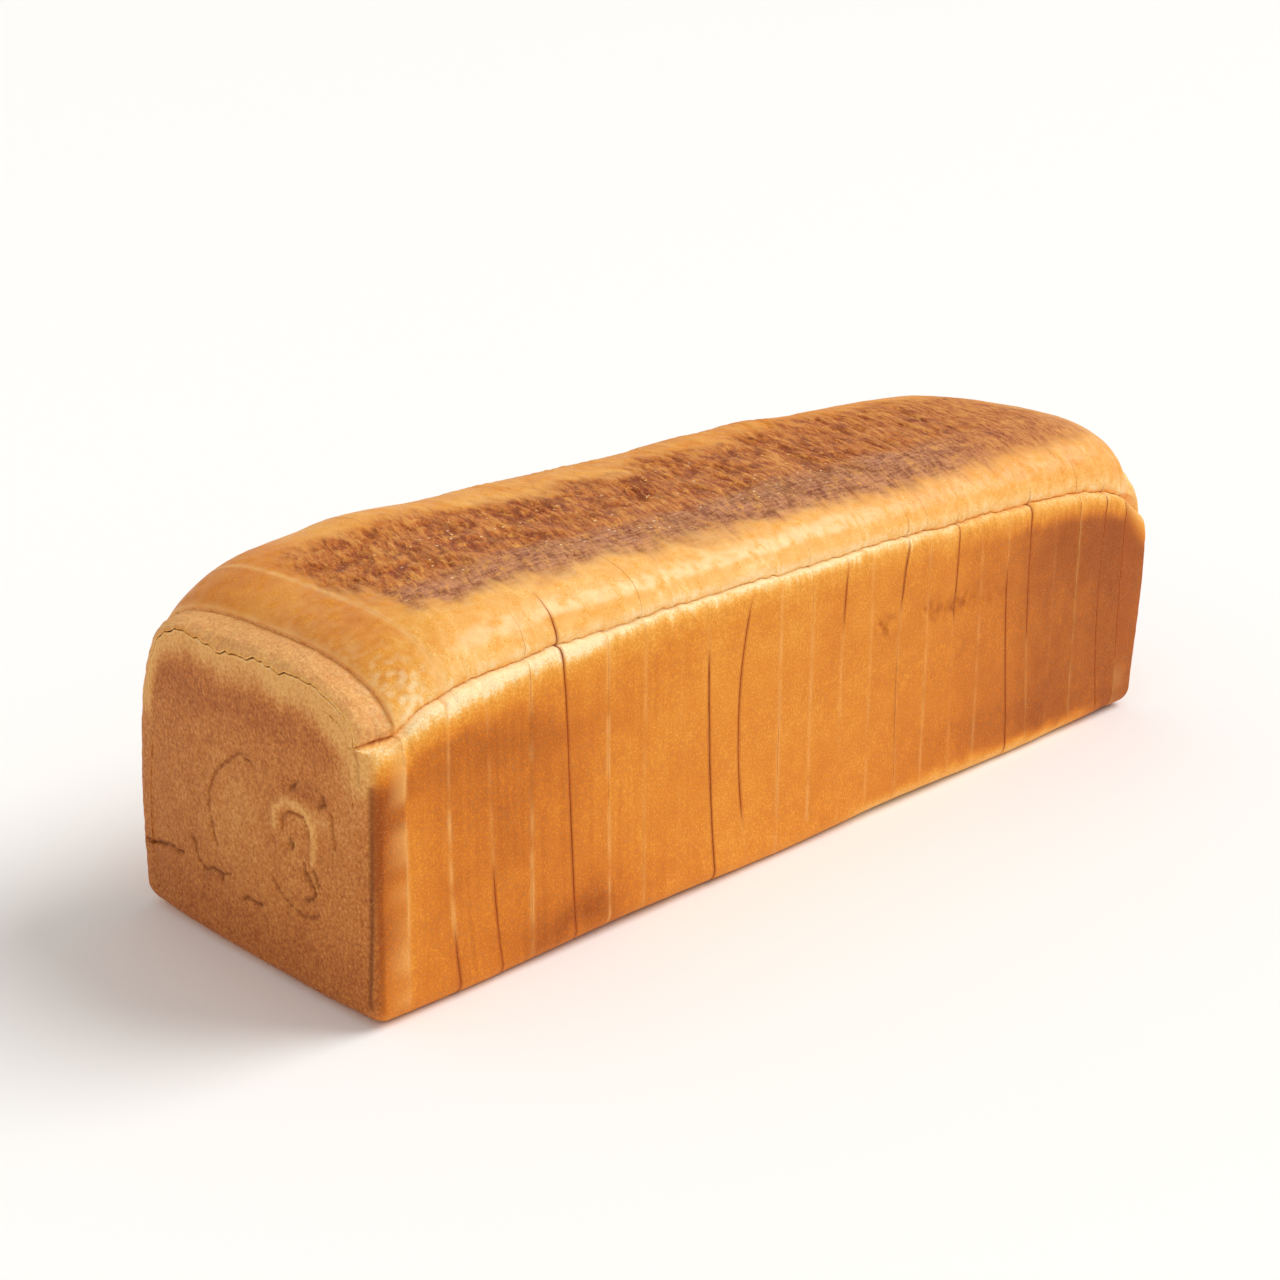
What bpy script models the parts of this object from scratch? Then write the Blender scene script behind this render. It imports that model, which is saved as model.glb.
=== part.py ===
"""A long white tin loaf, baked in an open tin and sliced, as solids in metres with +Z up.

The loaf lies along X and rests on its flat base at Z = 0. Its walls are straight and square where the
tin held them. Above the rim of the tin the crown swells out, and between wall and crown the crust has
torn along a seam that drops at the four corners. The loaf is cut across into even slices with a rounded
heel at each end. Every slice and each heel is an object of its own.
"""

import math
import random

import bmesh
import bpy

# Slicing, from the near heel at -X to the far heel at +X
SLICE_COUNT = 23
SLICE_PITCH = 0.0130
CUT_GAP = 0.0003
NEAR_HEEL = 0.0104
FAR_HEEL = 0.0178
HALF_LENGTH = (NEAR_HEEL + SLICE_COUNT * SLICE_PITCH + FAR_HEEL) / 2

# Cuts lean a little, more towards the far end, with their lower edges further along
CUT_LEAN = 0.030
LEAN_PIVOT = 0.050

# The walls, which taper towards the base as the tin does
BASE_HALF_WIDTH = 0.0510
RIM_HALF_WIDTH = 0.0524
RIM_HEIGHT = 0.070
BASE_EDGE_RADIUS = 0.0050
BASE_FLAT_SHARE = 0.62
BASE_LIFT = 0.0005
BASE_LIFT_WAVE = 0.112
BASE_LIFT_START = 0.029

# The torn seam between wall and crown
SEAM_HEIGHT = 0.0843
SEAM_ARCH = 0.0038
SEAM_DROP = 0.0190
NEAR_DROP_REACH = 0.0140
FAR_DROP_REACH = 0.0160
SEAM_DEPTH = 0.0028
LIP_HEIGHT = 0.0040
LIP_DEPTH = 0.0014

# The crown: its height along the middle, its width, and how square its section is
CROWN_HEIGHT = 0.0993
CROWN_RISE = 0.0016
CROWN_RISE_START = 0.100
CROWN_RISE_LENGTH = 0.110
CROWN_TILT = 0.014
CROWN_HALF_WIDTH = 0.0511
CROWN_NARROWING = 0.0030
CROWN_NARROWING_REACH = 0.030
CROWN_SQUARENESS = 4.0
END_SQUARENESS = 2.4
SQUARENESS_REACH = 0.034
CROWN_OVERHANG = 0.0014
EQUATOR_HEIGHT = 0.0028
LEAST_EQUATOR_HEIGHT = 0.0008
NEAR_SAG = 0.0032
NEAR_SAG_REACH = 0.080
NEAR_DIP = 0.0305
NEAR_DIP_REACH = 0.0084
FAR_DIP = 0.0140
FAR_DIP_REACH = 0.0095

# The end faces: how far the crack lies below the crown, and the rounding of the upright edges
END_CRACK_HEIGHT = 0.0832
END_CRACK_SQUARENESS = 5.6
END_CRACK_DEPTH = 0.0016
END_BASE_RADIUS = 0.0052
END_BULGE = 0.0010
NEAR_EDGE_RADIUS = 0.0028
NEAR_SHOULDER_RADII = {-1: 0.0050, 1: 0.0120}
FAR_EDGE_RADIUS = 0.0036
FAR_SHOULDER_RADII = {-1: 0.0046, 1: 0.0060}
SHOULDER_POWER = 3
NEAR_END_TAPER = 0.0000
FAR_END_TAPER = 0.0035
TAPER_HEIGHT = 0.050
BEVEL_SQUARENESS = 1.7

# Slices never stack up quite true
SLICE_SHIFT = 0.0004
SHIFT_SEED = 7

# How finely each stretch of the half outline, and each heel, is divided
CORNER_STEPS = 4
WALL_STEPS = 4
LIP_STEPS = 3
OVERHANG_STEPS = 2
CROWN_STEPS = 12
HEEL_STEPS = 6
WALL_POINTS = 2 + CORNER_STEPS + 1 + WALL_STEPS + LIP_STEPS + 1
EDGE_TURN = math.radians(80)
CRACK_TURN = math.radians(86)
FACE_SHARES = (0.92, 0.66, 0.33)
SHARP_ANGLE = math.radians(40)

# Crust colours as linear red, green and blue: golden brown along the loaf, baked darker at both ends
CRUST_COLOUR = (0.64, 0.27, 0.065)
FAR_CRUST_COLOUR = (0.47, 0.17, 0.04)
NEAR_HEEL_COLOUR = (0.50, 0.22, 0.07)
DARKENING_START = 0.70
CRUST_ROUGHNESS = 0.55
CRUST_METALLIC = 0.0


def clear_scene():
    for obj in list(bpy.data.objects):
        bpy.data.objects.remove(obj)


def crust_material(name, colour):
    """Baked crust: dull, with a faint sheen."""
    material = bpy.data.materials.new(name)
    material.use_nodes = True
    shader = material.node_tree.nodes["Principled BSDF"]
    shader.inputs["Base Color"].default_value = (*colour, 1.0)
    shader.inputs["Roughness"].default_value = CRUST_ROUGHNESS
    shader.inputs["Metallic"].default_value = CRUST_METALLIC
    material.diffuse_color = (*colour, 1.0)
    return material


def slice_colour(number):
    """The crust of a slice, darker towards the far end."""
    darker = smooth_step((number / SLICE_COUNT - DARKENING_START) / (1 - DARKENING_START))
    return tuple(a + (b - a) * darker for a, b in zip(CRUST_COLOUR, FAR_CRUST_COLOUR))


def smooth_step(t):
    t = min(max(t, 0.0), 1.0)
    return t * t * (3 - 2 * t)


def end_distances(x):
    """How far a station lies from the near end and from the far end."""
    return max(x + HALF_LENGTH, 0.0), max(HALF_LENGTH - x, 0.0)


def wall_half_width(z):
    return BASE_HALF_WIDTH + (RIM_HALF_WIDTH - BASE_HALF_WIDTH) * min(z / RIM_HEIGHT, 1.0)


def base_lift(x):
    """How high the long edge of the base stands off the table, in long waves."""
    turn = (x + HALF_LENGTH - BASE_LIFT_START) / BASE_LIFT_WAVE
    return BASE_LIFT * (1 - math.cos(2 * math.pi * turn))


def seam_height(x):
    """Height of the seam on the long sides: a slow arch, dropping to the corners."""
    near, far = end_distances(x)
    drop = math.exp(-near / NEAR_DROP_REACH) + math.exp(-far / FAR_DROP_REACH)
    return SEAM_HEIGHT - SEAM_ARCH * (x / HALF_LENGTH) ** 2 - SEAM_DROP * drop


def crown_height(x):
    """Height of the crown along its middle line: a little taller at the far half, and falling to each end."""
    near, far = end_distances(x)
    rise = CROWN_RISE * smooth_step((near - CROWN_RISE_START) / CROWN_RISE_LENGTH)
    sag = NEAR_SAG * smooth_step(1 - near / NEAR_SAG_REACH)
    dips = NEAR_DIP * math.exp(-near / NEAR_DIP_REACH) + FAR_DIP * math.exp(-far / FAR_DIP_REACH)
    return CROWN_HEIGHT + rise - sag - dips


def crown_half_width(x):
    return CROWN_HALF_WIDTH - CROWN_NARROWING * math.exp(-min(end_distances(x)) / CROWN_NARROWING_REACH)


def crown_squareness(x):
    """Power of the crown's section: boxy along the loaf, rounder towards its ends."""
    inwards = smooth_step(min(end_distances(x)) / SQUARENESS_REACH)
    return END_SQUARENESS + (CROWN_SQUARENESS - END_SQUARENESS) * inwards


def base_edge(x):
    """The base from its middle to its rounded long edge, each point with its inward direction."""
    lift = base_lift(x)
    foot = BASE_HALF_WIDTH - BASE_EDGE_RADIUS
    points = [(0.0, 0.0, 0.0, 1.0), (foot * BASE_FLAT_SHARE, 0.0, 0.0, 1.0)]
    for step in range(CORNER_STEPS + 1):
        turn = math.pi / 2 * step / CORNER_STEPS
        z = lift + BASE_EDGE_RADIUS * (1 - math.cos(turn))
        flare = wall_half_width(z) - BASE_HALF_WIDTH
        y = foot + flare + BASE_EDGE_RADIUS * math.sin(turn)
        points.append((y, z, -math.sin(turn), math.cos(turn)))
    return points


def wall_and_lip(x):
    """The wall up to its rolled lip and down into the bottom of the seam, each point facing inwards."""
    seam = seam_height(x)
    foot = base_lift(x) + BASE_EDGE_RADIUS
    top = seam - LIP_HEIGHT
    heights = [foot + (top - foot) * step / WALL_STEPS for step in range(1, WALL_STEPS + 1)]
    points = [(wall_half_width(z), z, -1.0, 0.0) for z in heights]
    rim = wall_half_width(top)
    for step in range(1, LIP_STEPS + 1):
        turn = math.pi / 2 * step / LIP_STEPS
        y = rim - LIP_DEPTH * (1 - math.cos(turn))
        points.append((y, top + (LIP_HEIGHT - CUT_GAP) * math.sin(turn), -1.0, 0.0))
    points.append((rim - SEAM_DEPTH, seam, -1.0, 0.0))
    return points


def crown_curve(half_width, foot, equator, top, squareness):
    """The crown's half section from its undercut foot, round its widest line, to the middle."""
    points = []
    for step in range(OVERHANG_STEPS):
        turn = math.pi / 2 * step / OVERHANG_STEPS
        y = half_width - CROWN_OVERHANG * (1 - math.sin(turn))
        points.append((y, equator - (equator - foot) * math.cos(turn)))
    for step in range(CROWN_STEPS):
        turn = math.pi / 2 * step / CROWN_STEPS
        y = half_width * math.cos(turn) ** (2 / squareness)
        points.append((y, equator + (top - equator) * math.sin(turn)))
    points.append((0.0, top))
    return points


def crown_section(x):
    seam = seam_height(x)
    inwards = smooth_step(min(end_distances(x)) / SQUARENESS_REACH)
    equator = seam + LEAST_EQUATOR_HEIGHT + (EQUATOR_HEIGHT - LEAST_EQUATOR_HEIGHT) * inwards
    return crown_curve(crown_half_width(x), seam + CUT_GAP, equator, crown_height(x), crown_squareness(x))


def closed_outline(left, right):
    """A closed outline from its halves: up the +Y side, over the crown and down the -Y side."""
    return left + [(x, -y, z) for x, y, z in reversed(right[1:-1])]


def tilted(x, y, z):
    """Raises the far side of the crown a little, along the middle of the loaf."""
    above = smooth_step((z - RIM_HEIGHT) / (CROWN_HEIGHT - RIM_HEIGHT))
    inwards = smooth_step(min(end_distances(x)) / NEAR_SAG_REACH)
    return x, y, z + CROWN_TILT * y * above * inwards


def leaning(x, y, z):
    """Leans a cut: its lower edge lies further along the loaf."""
    return x + cut_lean(x) * (LEAN_PIVOT - z), y, z


def cut_lean(x):
    return CUT_LEAN * smooth_step((x + HALF_LENGTH) / (2 * HALF_LENGTH))


def slice_outline(x):
    """The outline at a station as a list of (x, y, z)."""
    wall = [(x, y, z) for y, z, _, _ in base_edge(x) + wall_and_lip(x)]
    crown = [(x, y, z) for y, z in crown_section(x)]
    return [leaning(*tilted(*point)) for point in closed_outline(wall + crown, wall + crown)]


def add_ring(mesh, points):
    return [mesh.verts.new(point) for point in points]


def join_rings(mesh, first, second):
    count = len(first)
    for i in range(count):
        j = (i + 1) % count
        mesh.faces.new((first[i], first[j], second[j], second[i]))


def finished_object(name, mesh, collection, colour):
    """Turns a bmesh into a smooth-shaded object with its own crust, whose cut faces stay crisp."""
    bmesh.ops.recalc_face_normals(mesh, faces=mesh.faces)
    data = bpy.data.meshes.new(name)
    mesh.to_mesh(data)
    mesh.free()
    data.materials.append(crust_material(f"{name}_crust", colour))
    data.shade_smooth()
    data.set_sharp_from_angle(angle=SHARP_ANGLE)
    obj = bpy.data.objects.new(name, data)
    collection.objects.link(obj)
    return obj


def add_slice(name, x_low, x_high, shift, collection, colour):
    """One slice: the loaf's outline at its two cuts, lofted, with a flat cut face on each side."""
    mesh = bmesh.new()
    rings = [add_ring(mesh, slice_outline(x)) for x in (x_low, x_high)]
    join_rings(mesh, *rings)
    mesh.faces.new(rings[0])
    mesh.faces.new(rings[1])
    obj = finished_object(name, mesh, collection, colour)
    obj.location.y = shift
    return obj


class EndShape:
    """The measures of one end of the loaf, and the points of its heel. Sides are 1 for +Y and -1 for -Y."""

    def __init__(self, x_cut, x_end, edge_radius, shoulder_radii, taper):
        self.x_cut = x_cut
        self.x_end = x_end
        self.outwards = math.copysign(1.0, x_end)
        self.edge_radius = edge_radius
        self.shoulder_radii = shoulder_radii
        self.taper = taper

    def face_x(self, y, z):
        """The end face: it swells gently in the middle and tapers towards the base."""
        bulge = END_BULGE * (1 - (y / RIM_HALF_WIDTH) ** 2)
        taper = self.taper * (1 - smooth_step(z / TAPER_HEIGHT))
        return self.x_end - self.outwards * (END_BULGE - bulge + taper)

    def radius(self, side, z, upwards):
        """Rounding between wall and end face, opening out towards the shoulder of the loaf."""
        share = (z / RIM_HEIGHT) ** SHOULDER_POWER
        upright = self.edge_radius + (self.shoulder_radii[side] - self.edge_radius) * share
        return upright + (END_BASE_RADIUS - upright) * upwards

    def wall_point(self, side, index, turn, inset=0.0):
        """A point of wall or base, carried round the edge of the end face by an angle."""
        _, z, _, upwards = (base_edge(self.x_cut) + wall_and_lip(self.x_cut))[index]
        radius = self.radius(side, z, upwards)
        back = radius * (1 - math.sin(turn))
        x = self.face_x(0, z) - self.outwards * back
        y, z, in_y, in_z = (base_edge(x) + wall_and_lip(x))[index]
        into = radius * (1 - math.cos(turn)) + inset
        y, z = y + in_y * into, z + in_z * into
        return self.face_x(y, z) - self.outwards * back, max(y, 0.0), z

    def crack(self, side):
        """The line on the end face along which the crown has torn from the wall."""
        corner = self.wall_point(side, WALL_POINTS - 1, EDGE_TURN)
        foot = corner[2] + CUT_GAP
        equator = foot + LEAST_EQUATOR_HEIGHT
        half_width = corner[1] + SEAM_DEPTH / 2
        curve = crown_curve(half_width, foot, equator, END_CRACK_HEIGHT, END_CRACK_SQUARENESS)
        return [(self.face_x(y, z), y, z) for y, z in curve]

    def crown_half_ring(self, side, step):
        """The crown rounds over from the cut to the crack."""
        turn = math.pi / 2 * step / HEEL_STEPS
        out = math.cos(turn) ** (2 / BEVEL_SQUARENESS) if step < HEEL_STEPS else 0.0
        along = math.sin(turn) ** (2 / BEVEL_SQUARENESS)
        points = []
        for (x_end, y_end, z_end), (y, z) in zip(self.crack(side), crown_section(self.x_cut)):
            x = self.x_cut + (x_end - self.x_cut) * along
            points.append((x, y_end + (y - y_end) * out, z_end + (z - z_end) * out))
        return points

    def outer_ring(self, step):
        """Rings from the cut to the edge of the end face."""
        halves = []
        for side in (1, -1):
            if step == 0:
                wall = [(self.x_cut, y, z) for y, z, _, _ in base_edge(self.x_cut) + wall_and_lip(self.x_cut)]
            else:
                turn = EDGE_TURN * (step - 1) / (HEEL_STEPS - 1)
                wall = [self.wall_point(side, index, turn) for index in range(WALL_POINTS)]
            halves.append(wall + self.crown_half_ring(side, step))
        return closed_outline(*halves)

    def crack_ring(self, drop, depth, turn, inset=0.0):
        """Rings that run along the crack and on round the edge of the end face."""
        halves = []
        for side in (1, -1):
            half = [self.wall_point(side, index, turn, inset) for index in range(WALL_POINTS)]
            for step, (x, y, z) in enumerate(self.crack(side)):
                lean = math.pi / 2 * min(step / (CROWN_STEPS / 2), 1.0)
                y_inwards = min(inset * math.cos(lean), y)
                half.append((x - self.outwards * depth, y - y_inwards, z - drop * math.sin(lean)))
            halves.append(half)
        return closed_outline(*halves)

    def face_ring(self, outline, share):
        """A ring of the end face, shrunk towards its middle."""
        middle = RIM_HEIGHT / 2
        flat = [(y * share, middle + (z - middle) * share) for _, y, z in outline]
        return [(self.face_x(y, z), y, z) for y, z in flat]


def add_heel(name, end, collection, colour):
    """A heel: rings from its cut round the edges, through the crack and in over the end face."""
    mesh = bmesh.new()
    rings = [end.outer_ring(step) for step in range(HEEL_STEPS + 1)]
    rings.append(end.crack_ring(CUT_GAP, END_CRACK_DEPTH, CRACK_TURN))
    rings.append(end.crack_ring(2 * CUT_GAP, 0.0, math.pi / 2, CUT_GAP))
    lip = end.crack_ring(LIP_HEIGHT, 0.0, math.pi / 2, LIP_HEIGHT)
    rings.append(lip)
    rings += [end.face_ring(lip, share) for share in FACE_SHARES]
    placed = [add_ring(mesh, [leaning(*point) for point in points]) for points in rings]
    for first, second in zip(placed, placed[1:]):
        join_rings(mesh, first, second)
    mesh.faces.new(placed[0])
    centre = mesh.verts.new(leaning(end.face_x(0, RIM_HEIGHT / 2), 0.0, RIM_HEIGHT / 2))
    last = placed[-1]
    for i in range(len(last)):
        mesh.faces.new((last[i], last[(i + 1) % len(last)], centre))
    return finished_object(name, mesh, collection, colour)


def main():
    clear_scene()
    collection = bpy.data.collections.new("tin_loaf")
    bpy.context.scene.collection.children.link(collection)
    chance = random.Random(SHIFT_SEED)
    first_cut = NEAR_HEEL - HALF_LENGTH
    for number in range(1, SLICE_COUNT + 1):
        x_low = first_cut + (number - 1) * SLICE_PITCH + CUT_GAP / 2
        x_high = first_cut + number * SLICE_PITCH - CUT_GAP / 2
        shift = SLICE_SHIFT * chance.uniform(-1, 1)
        add_slice(f"slice_{number:02d}", x_low, x_high, shift, collection, slice_colour(number))
    last_cut = first_cut + SLICE_COUNT * SLICE_PITCH
    x_near, x_far = first_cut - CUT_GAP / 2, last_cut + CUT_GAP / 2
    near = EndShape(x_near, -HALF_LENGTH, NEAR_EDGE_RADIUS, NEAR_SHOULDER_RADII, NEAR_END_TAPER)
    far = EndShape(x_far, HALF_LENGTH, FAR_EDGE_RADIUS, FAR_SHOULDER_RADII, FAR_END_TAPER)
    add_heel("heel_near", near, collection, NEAR_HEEL_COLOUR)
    add_heel("heel_far", far, collection, FAR_CRUST_COLOUR)


main()
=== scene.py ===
"""A sliced white tin loaf, dressed for looks: every slice and both heels with their baked crust.

The loaf lies along X on its flat base, near heel at -X. All shapes here are worked out in millimetres and
written to the meshes in metres.
"""

import functools
import itertools
import math

import bpy
import numpy as np
from bpy.props import FloatProperty, FloatVectorProperty, PointerProperty
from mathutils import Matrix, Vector


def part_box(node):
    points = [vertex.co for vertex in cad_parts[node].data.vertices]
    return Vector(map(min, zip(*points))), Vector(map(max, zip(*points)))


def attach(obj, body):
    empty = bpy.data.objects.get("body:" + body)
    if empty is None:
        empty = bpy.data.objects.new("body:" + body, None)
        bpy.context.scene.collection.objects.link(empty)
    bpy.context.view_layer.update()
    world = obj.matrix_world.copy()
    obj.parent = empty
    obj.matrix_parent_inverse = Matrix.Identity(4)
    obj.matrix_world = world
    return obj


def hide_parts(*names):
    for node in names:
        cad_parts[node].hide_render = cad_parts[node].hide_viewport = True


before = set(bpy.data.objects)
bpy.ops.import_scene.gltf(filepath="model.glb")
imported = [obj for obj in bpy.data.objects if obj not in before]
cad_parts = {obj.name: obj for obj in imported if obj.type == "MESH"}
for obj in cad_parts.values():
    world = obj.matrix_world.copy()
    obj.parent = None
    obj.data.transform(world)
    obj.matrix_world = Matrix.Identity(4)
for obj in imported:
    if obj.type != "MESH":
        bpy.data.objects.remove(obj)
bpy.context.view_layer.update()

bl_info = {
    "name": "Tin Loaf",
    "version": (1, 0, 0),
    "blender": (4, 5, 0),
    "location": "View3D > Sidebar > Tin Loaf",
    "description": "Builds a sliced white tin loaf with its baked crust",
    "category": "Object",
}

MM = 0.001

# Slicing, in millimetres from here on
SLICES = sorted(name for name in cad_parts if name.startswith("slice"))
SLICE_COUNT = len(SLICES)
HALF_LENGTH = 163.6
FIRST_CUT = -153.2
SLICE_PITCH = 13.0
CUT_LEAN = 0.030
LEAN_PIVOT = 50.0

# The walls, which taper towards the base as the tin does
BASE_HALF_WIDTH = 51.0
RIM_HALF_WIDTH = 52.4
RIM_HEIGHT = 70.0
BASE_EDGE_RADIUS = 5.0
BASE_FLAT_SHARE = 0.62
BASE_LIFT = 0.5
BASE_LIFT_WAVE = 112.0
BASE_LIFT_START = 29.0

# The torn seam between wall and crown
SEAM_HEIGHT = 84.3
SEAM_ARCH = 3.8
SEAM_DROP = 19.0
NEAR_DROP_REACH = 14.0
FAR_DROP_REACH = 16.0
SEAM_DEPTH = 2.8
NEAR_SEAM_FOOT = 70.6
LIP_HEIGHT = 4.0
LIP_DEPTH = 1.4

# The crown
CROWN_HEIGHT = 99.3
CROWN_RISE = 1.6
CROWN_RISE_START = 100.0
CROWN_RISE_LENGTH = 110.0
CROWN_TILT = 0.014
CROWN_HALF_WIDTH = 51.1
CROWN_NARROWING = 3.0
CROWN_NARROWING_REACH = 30.0
CROWN_SQUARENESS = 4.0
END_SQUARENESS = 2.4
SQUARENESS_REACH = 34.0
CROWN_OVERHANG = 1.4
EQUATOR_HEIGHT = 2.8
LEAST_EQUATOR_HEIGHT = 0.8
NEAR_SAG = 3.2
NEAR_SAG_REACH = 80.0
NEAR_DIP = 30.5
NEAR_DIP_REACH = 8.4
FAR_DIP = 14.0
FAR_DIP_REACH = 9.5

# The end faces
END_CRACK_HEIGHT = 83.2
END_CRACK_SQUARENESS = 5.6
END_CRACK_DEPTH = 1.6
END_BASE_RADIUS = 5.2
END_BULGE = 1.0
NEAR_EDGE_RADIUS = 2.8
NEAR_SHOULDER_RADII = {-1: 5.0, 1: 12.0}
FAR_EDGE_RADIUS = 3.6
FAR_SHOULDER_RADII = {-1: 4.6, 1: 6.0}
SHOULDER_POWER = 3
FAR_END_TAPER = 3.5
TAPER_HEIGHT = 50.0
BEVEL_SQUARENESS = 1.7
EDGE_TURN = math.radians(80)
# Rings from the lip of the crack to the flat of the face, as (drop, depth, turn round the edge, inset)
CRACK_RINGS = [
    (0.10, 0.6 * END_CRACK_DEPTH, math.radians(83.5), 0.0),
    (0.25, END_CRACK_DEPTH, math.radians(87), 0.0),
    (0.55, 0.0, math.pi / 2, 0.3),
    *((inset + 0.3, 0.0, math.pi / 2, inset) for inset in (1.0, 1.8, 2.6, 3.4)),
]
TORN_RINGS = 2

# How finely the outline is divided
CORNER_STEPS = 10
WALL_STEPS = 84
LIP_STEPS = 7
CROWN_STEPS = 84
SLICE_BASE_STEPS = 14
HEEL_RINGS = 20
STATION_STEP = 0.75
# Rings on the worn edge of a cut, as shares of its radius
EDGE_SHARES = (0.2, 0.6, 1.0)


class Cut:
    """A cut between two pieces.

    It strays along the loaf by bow millimetres at each of BOW_HEIGHTS and stands open by gap between the
    heights low and high. Where it is closed it shows as a line, as strong as pale.
    """

    def __init__(self, bow=(0.0, 0.0, 0.0, 0.0), gap=0.0, low=0.0, high=100.0, pale=0.1):
        self.bow = bow
        self.gap = gap
        self.low = low
        self.high = high
        self.pale = pale


# Cuts are counted from the near heel; those left out are closed and straight
BOW_HEIGHTS = (0.0, 25.0, 50.0, 75.0)
BOW_TOP = 86.0
LIP_RADIUS = 0.35
OPEN_MARGIN = 10.0
PLAIN_CUT = Cut()
CUTS = {
    1: Cut(pale=0.9),
    2: Cut((3.2, 0.8, 0.0, 0.0), 0.08, -9.0, 18.0, pale=0.6),
    3: Cut((4.0, 1.0, 0.0, -1.2), 0.10, -9.0, 30.0, pale=0.25),
    4: Cut(pale=0.75),
    5: Cut((2.4, 0.5, -0.6, -2.0), 0.13, 2.0, 92.0, pale=0.3),
    6: Cut((0.8, 0.3, 0.0, 0.0), pale=0.6),
    7: Cut(pale=0.3),
    9: Cut((2.0, -0.8, -2.2, -2.8), 0.14, -9.0, 68.0, pale=0.2),
    10: Cut((1.9, -2.4, -3.7, -0.5), 0.12, 18.0, 78.0, pale=0.2),
    11: Cut(pale=0.5),
    12: Cut(pale=0.5),
    13: Cut((0.4, 0.2, 0.0, 1.2), 0.05, 66.0, 80.0, pale=0.35),
    14: Cut(pale=0.35),
    15: Cut((0.4, 0.0, -0.6, 1.8), 0.07, 64.0, 82.0, pale=0.3),
    16: Cut(pale=0.4),
    17: Cut((0.6, 0.2, 0.0, 1.0), 0.11, 54.0, 84.0, pale=0.25),
    18: Cut(pale=0.3),
    19: Cut((5.0, 3.0, 0.8, 0.5), 0.12, 2.0, 64.0, pale=0.25),
    20: Cut((3.0, 0.9, -0.9, -1.1), 0.10, 40.0, 84.0, pale=0.25),
    22: Cut(pale=0.25),
    23: Cut((4.5, 1.2, 0.2, 2.0), 0.17, 2.0, 80.0, pale=0.25),
    24: Cut((1.0, 0.4, 0.0, 1.0), 0.07, 20.0, 74.0, pale=0.25),
}


def srgb(text):
    """A colour written as sRGB hex, in linear light."""
    levels = [int(text[i : i + 2], 16) / 255 for i in (1, 3, 5)]
    return tuple(c / 12.92 if c <= 0.04045 else ((c + 0.055) / 1.055) ** 2.4 for c in levels)


def smooth(t):
    """An even rise from 0 to 1 as t does the same."""
    t = np.clip(t, 0.0, 1.0)
    return t * t * (3 - 2 * t)


def window(value, low, high, soft):
    """1 between low and high, fading out over a soft margin on both sides."""
    return smooth((value - low) / soft + 0.5) * smooth((high - value) / soft + 0.5)


class Noise:
    """Smooth seeded noise with a wavelength of about one unit, from -1 to 1."""

    SIZE = 256

    def __init__(self, seed):
        chance = np.random.default_rng(seed)
        self.order = chance.permutation(self.SIZE).astype(np.int32)
        slopes = chance.normal(size=(3, self.SIZE))
        self.slopes = (slopes / np.linalg.norm(slopes, axis=0)).astype(np.float32)

    def at(self, points):
        x, y, z = np.ascontiguousarray(points.T, np.float32)
        cells = [np.floor(part).astype(np.int32) for part in (x, y, z)]
        x, y, z = (part - cell for part, cell in zip((x, y, z), cells))
        fade_x, fade_y, fade_z = (part**3 * (part * (part * 6 - 15) + 10) for part in (x, y, z))
        total = np.zeros(len(x), np.float32)
        last = self.SIZE - 1
        for i, j, k in itertools.product((0, 1), repeat=3):
            index = self.order[(cells[2] + k) & last]
            index = self.order[(cells[1] + j + index) & last]
            index = self.order[(cells[0] + i + index) & last]
            value = self.slopes[0][index] * (x - i) + self.slopes[1][index] * (y - j)
            value += self.slopes[2][index] * (z - k)
            value *= fade_x if i else 1 - fade_x
            value *= fade_y if j else 1 - fade_y
            value *= fade_z if k else 1 - fade_z
            total += value
        return np.clip(total * 1.7, -1, 1)


NOISES = {}


def noise(seed, points, *sizes):
    """Noise over points in millimetres. One size is used in all directions, three are along X, Y and Z."""
    if seed not in NOISES:
        NOISES[seed] = Noise(seed)
    scaled = points / np.array(sizes if len(sizes) == 3 else sizes * 3)
    return NOISES[seed].at(scaled + (seed * 17.31) % 97)


def rough(seed, points, size, octaves=3):
    """Noise of several sizes, each half the one before and half as strong."""
    parts = [noise(seed + n, points, size / 2**n) / 2**n for n in range(octaves)]
    return sum(parts) / 1.5


def spot(a, b, middle, size):
    """A soft spot in the plane of a and b, 1 in its middle."""
    return np.exp(-(((a - middle[0]) / size[0]) ** 2) - ((b - middle[1]) / size[1]) ** 2)


def hump(value, middle, size):
    """A soft stripe across one direction, 1 in its middle."""
    return np.exp(-(((value - middle) / size) ** 2))


# Shape of the loaf


def end_distances(x):
    """Distances from the near and the far end."""
    return np.maximum(x + HALF_LENGTH, 0.0), np.maximum(HALF_LENGTH - x, 0.0)


def wall_half_width(z):
    """Half the width between the walls at a height."""
    return BASE_HALF_WIDTH + (RIM_HALF_WIDTH - BASE_HALF_WIDTH) * np.minimum(z / RIM_HEIGHT, 1.0)


def base_lift(x):
    """How far the edge of the base stands off the table, in a slow wave along the loaf."""
    turn = (x + HALF_LENGTH - BASE_LIFT_START) / BASE_LIFT_WAVE
    return BASE_LIFT * (1 - np.cos(2 * math.pi * turn))


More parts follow.
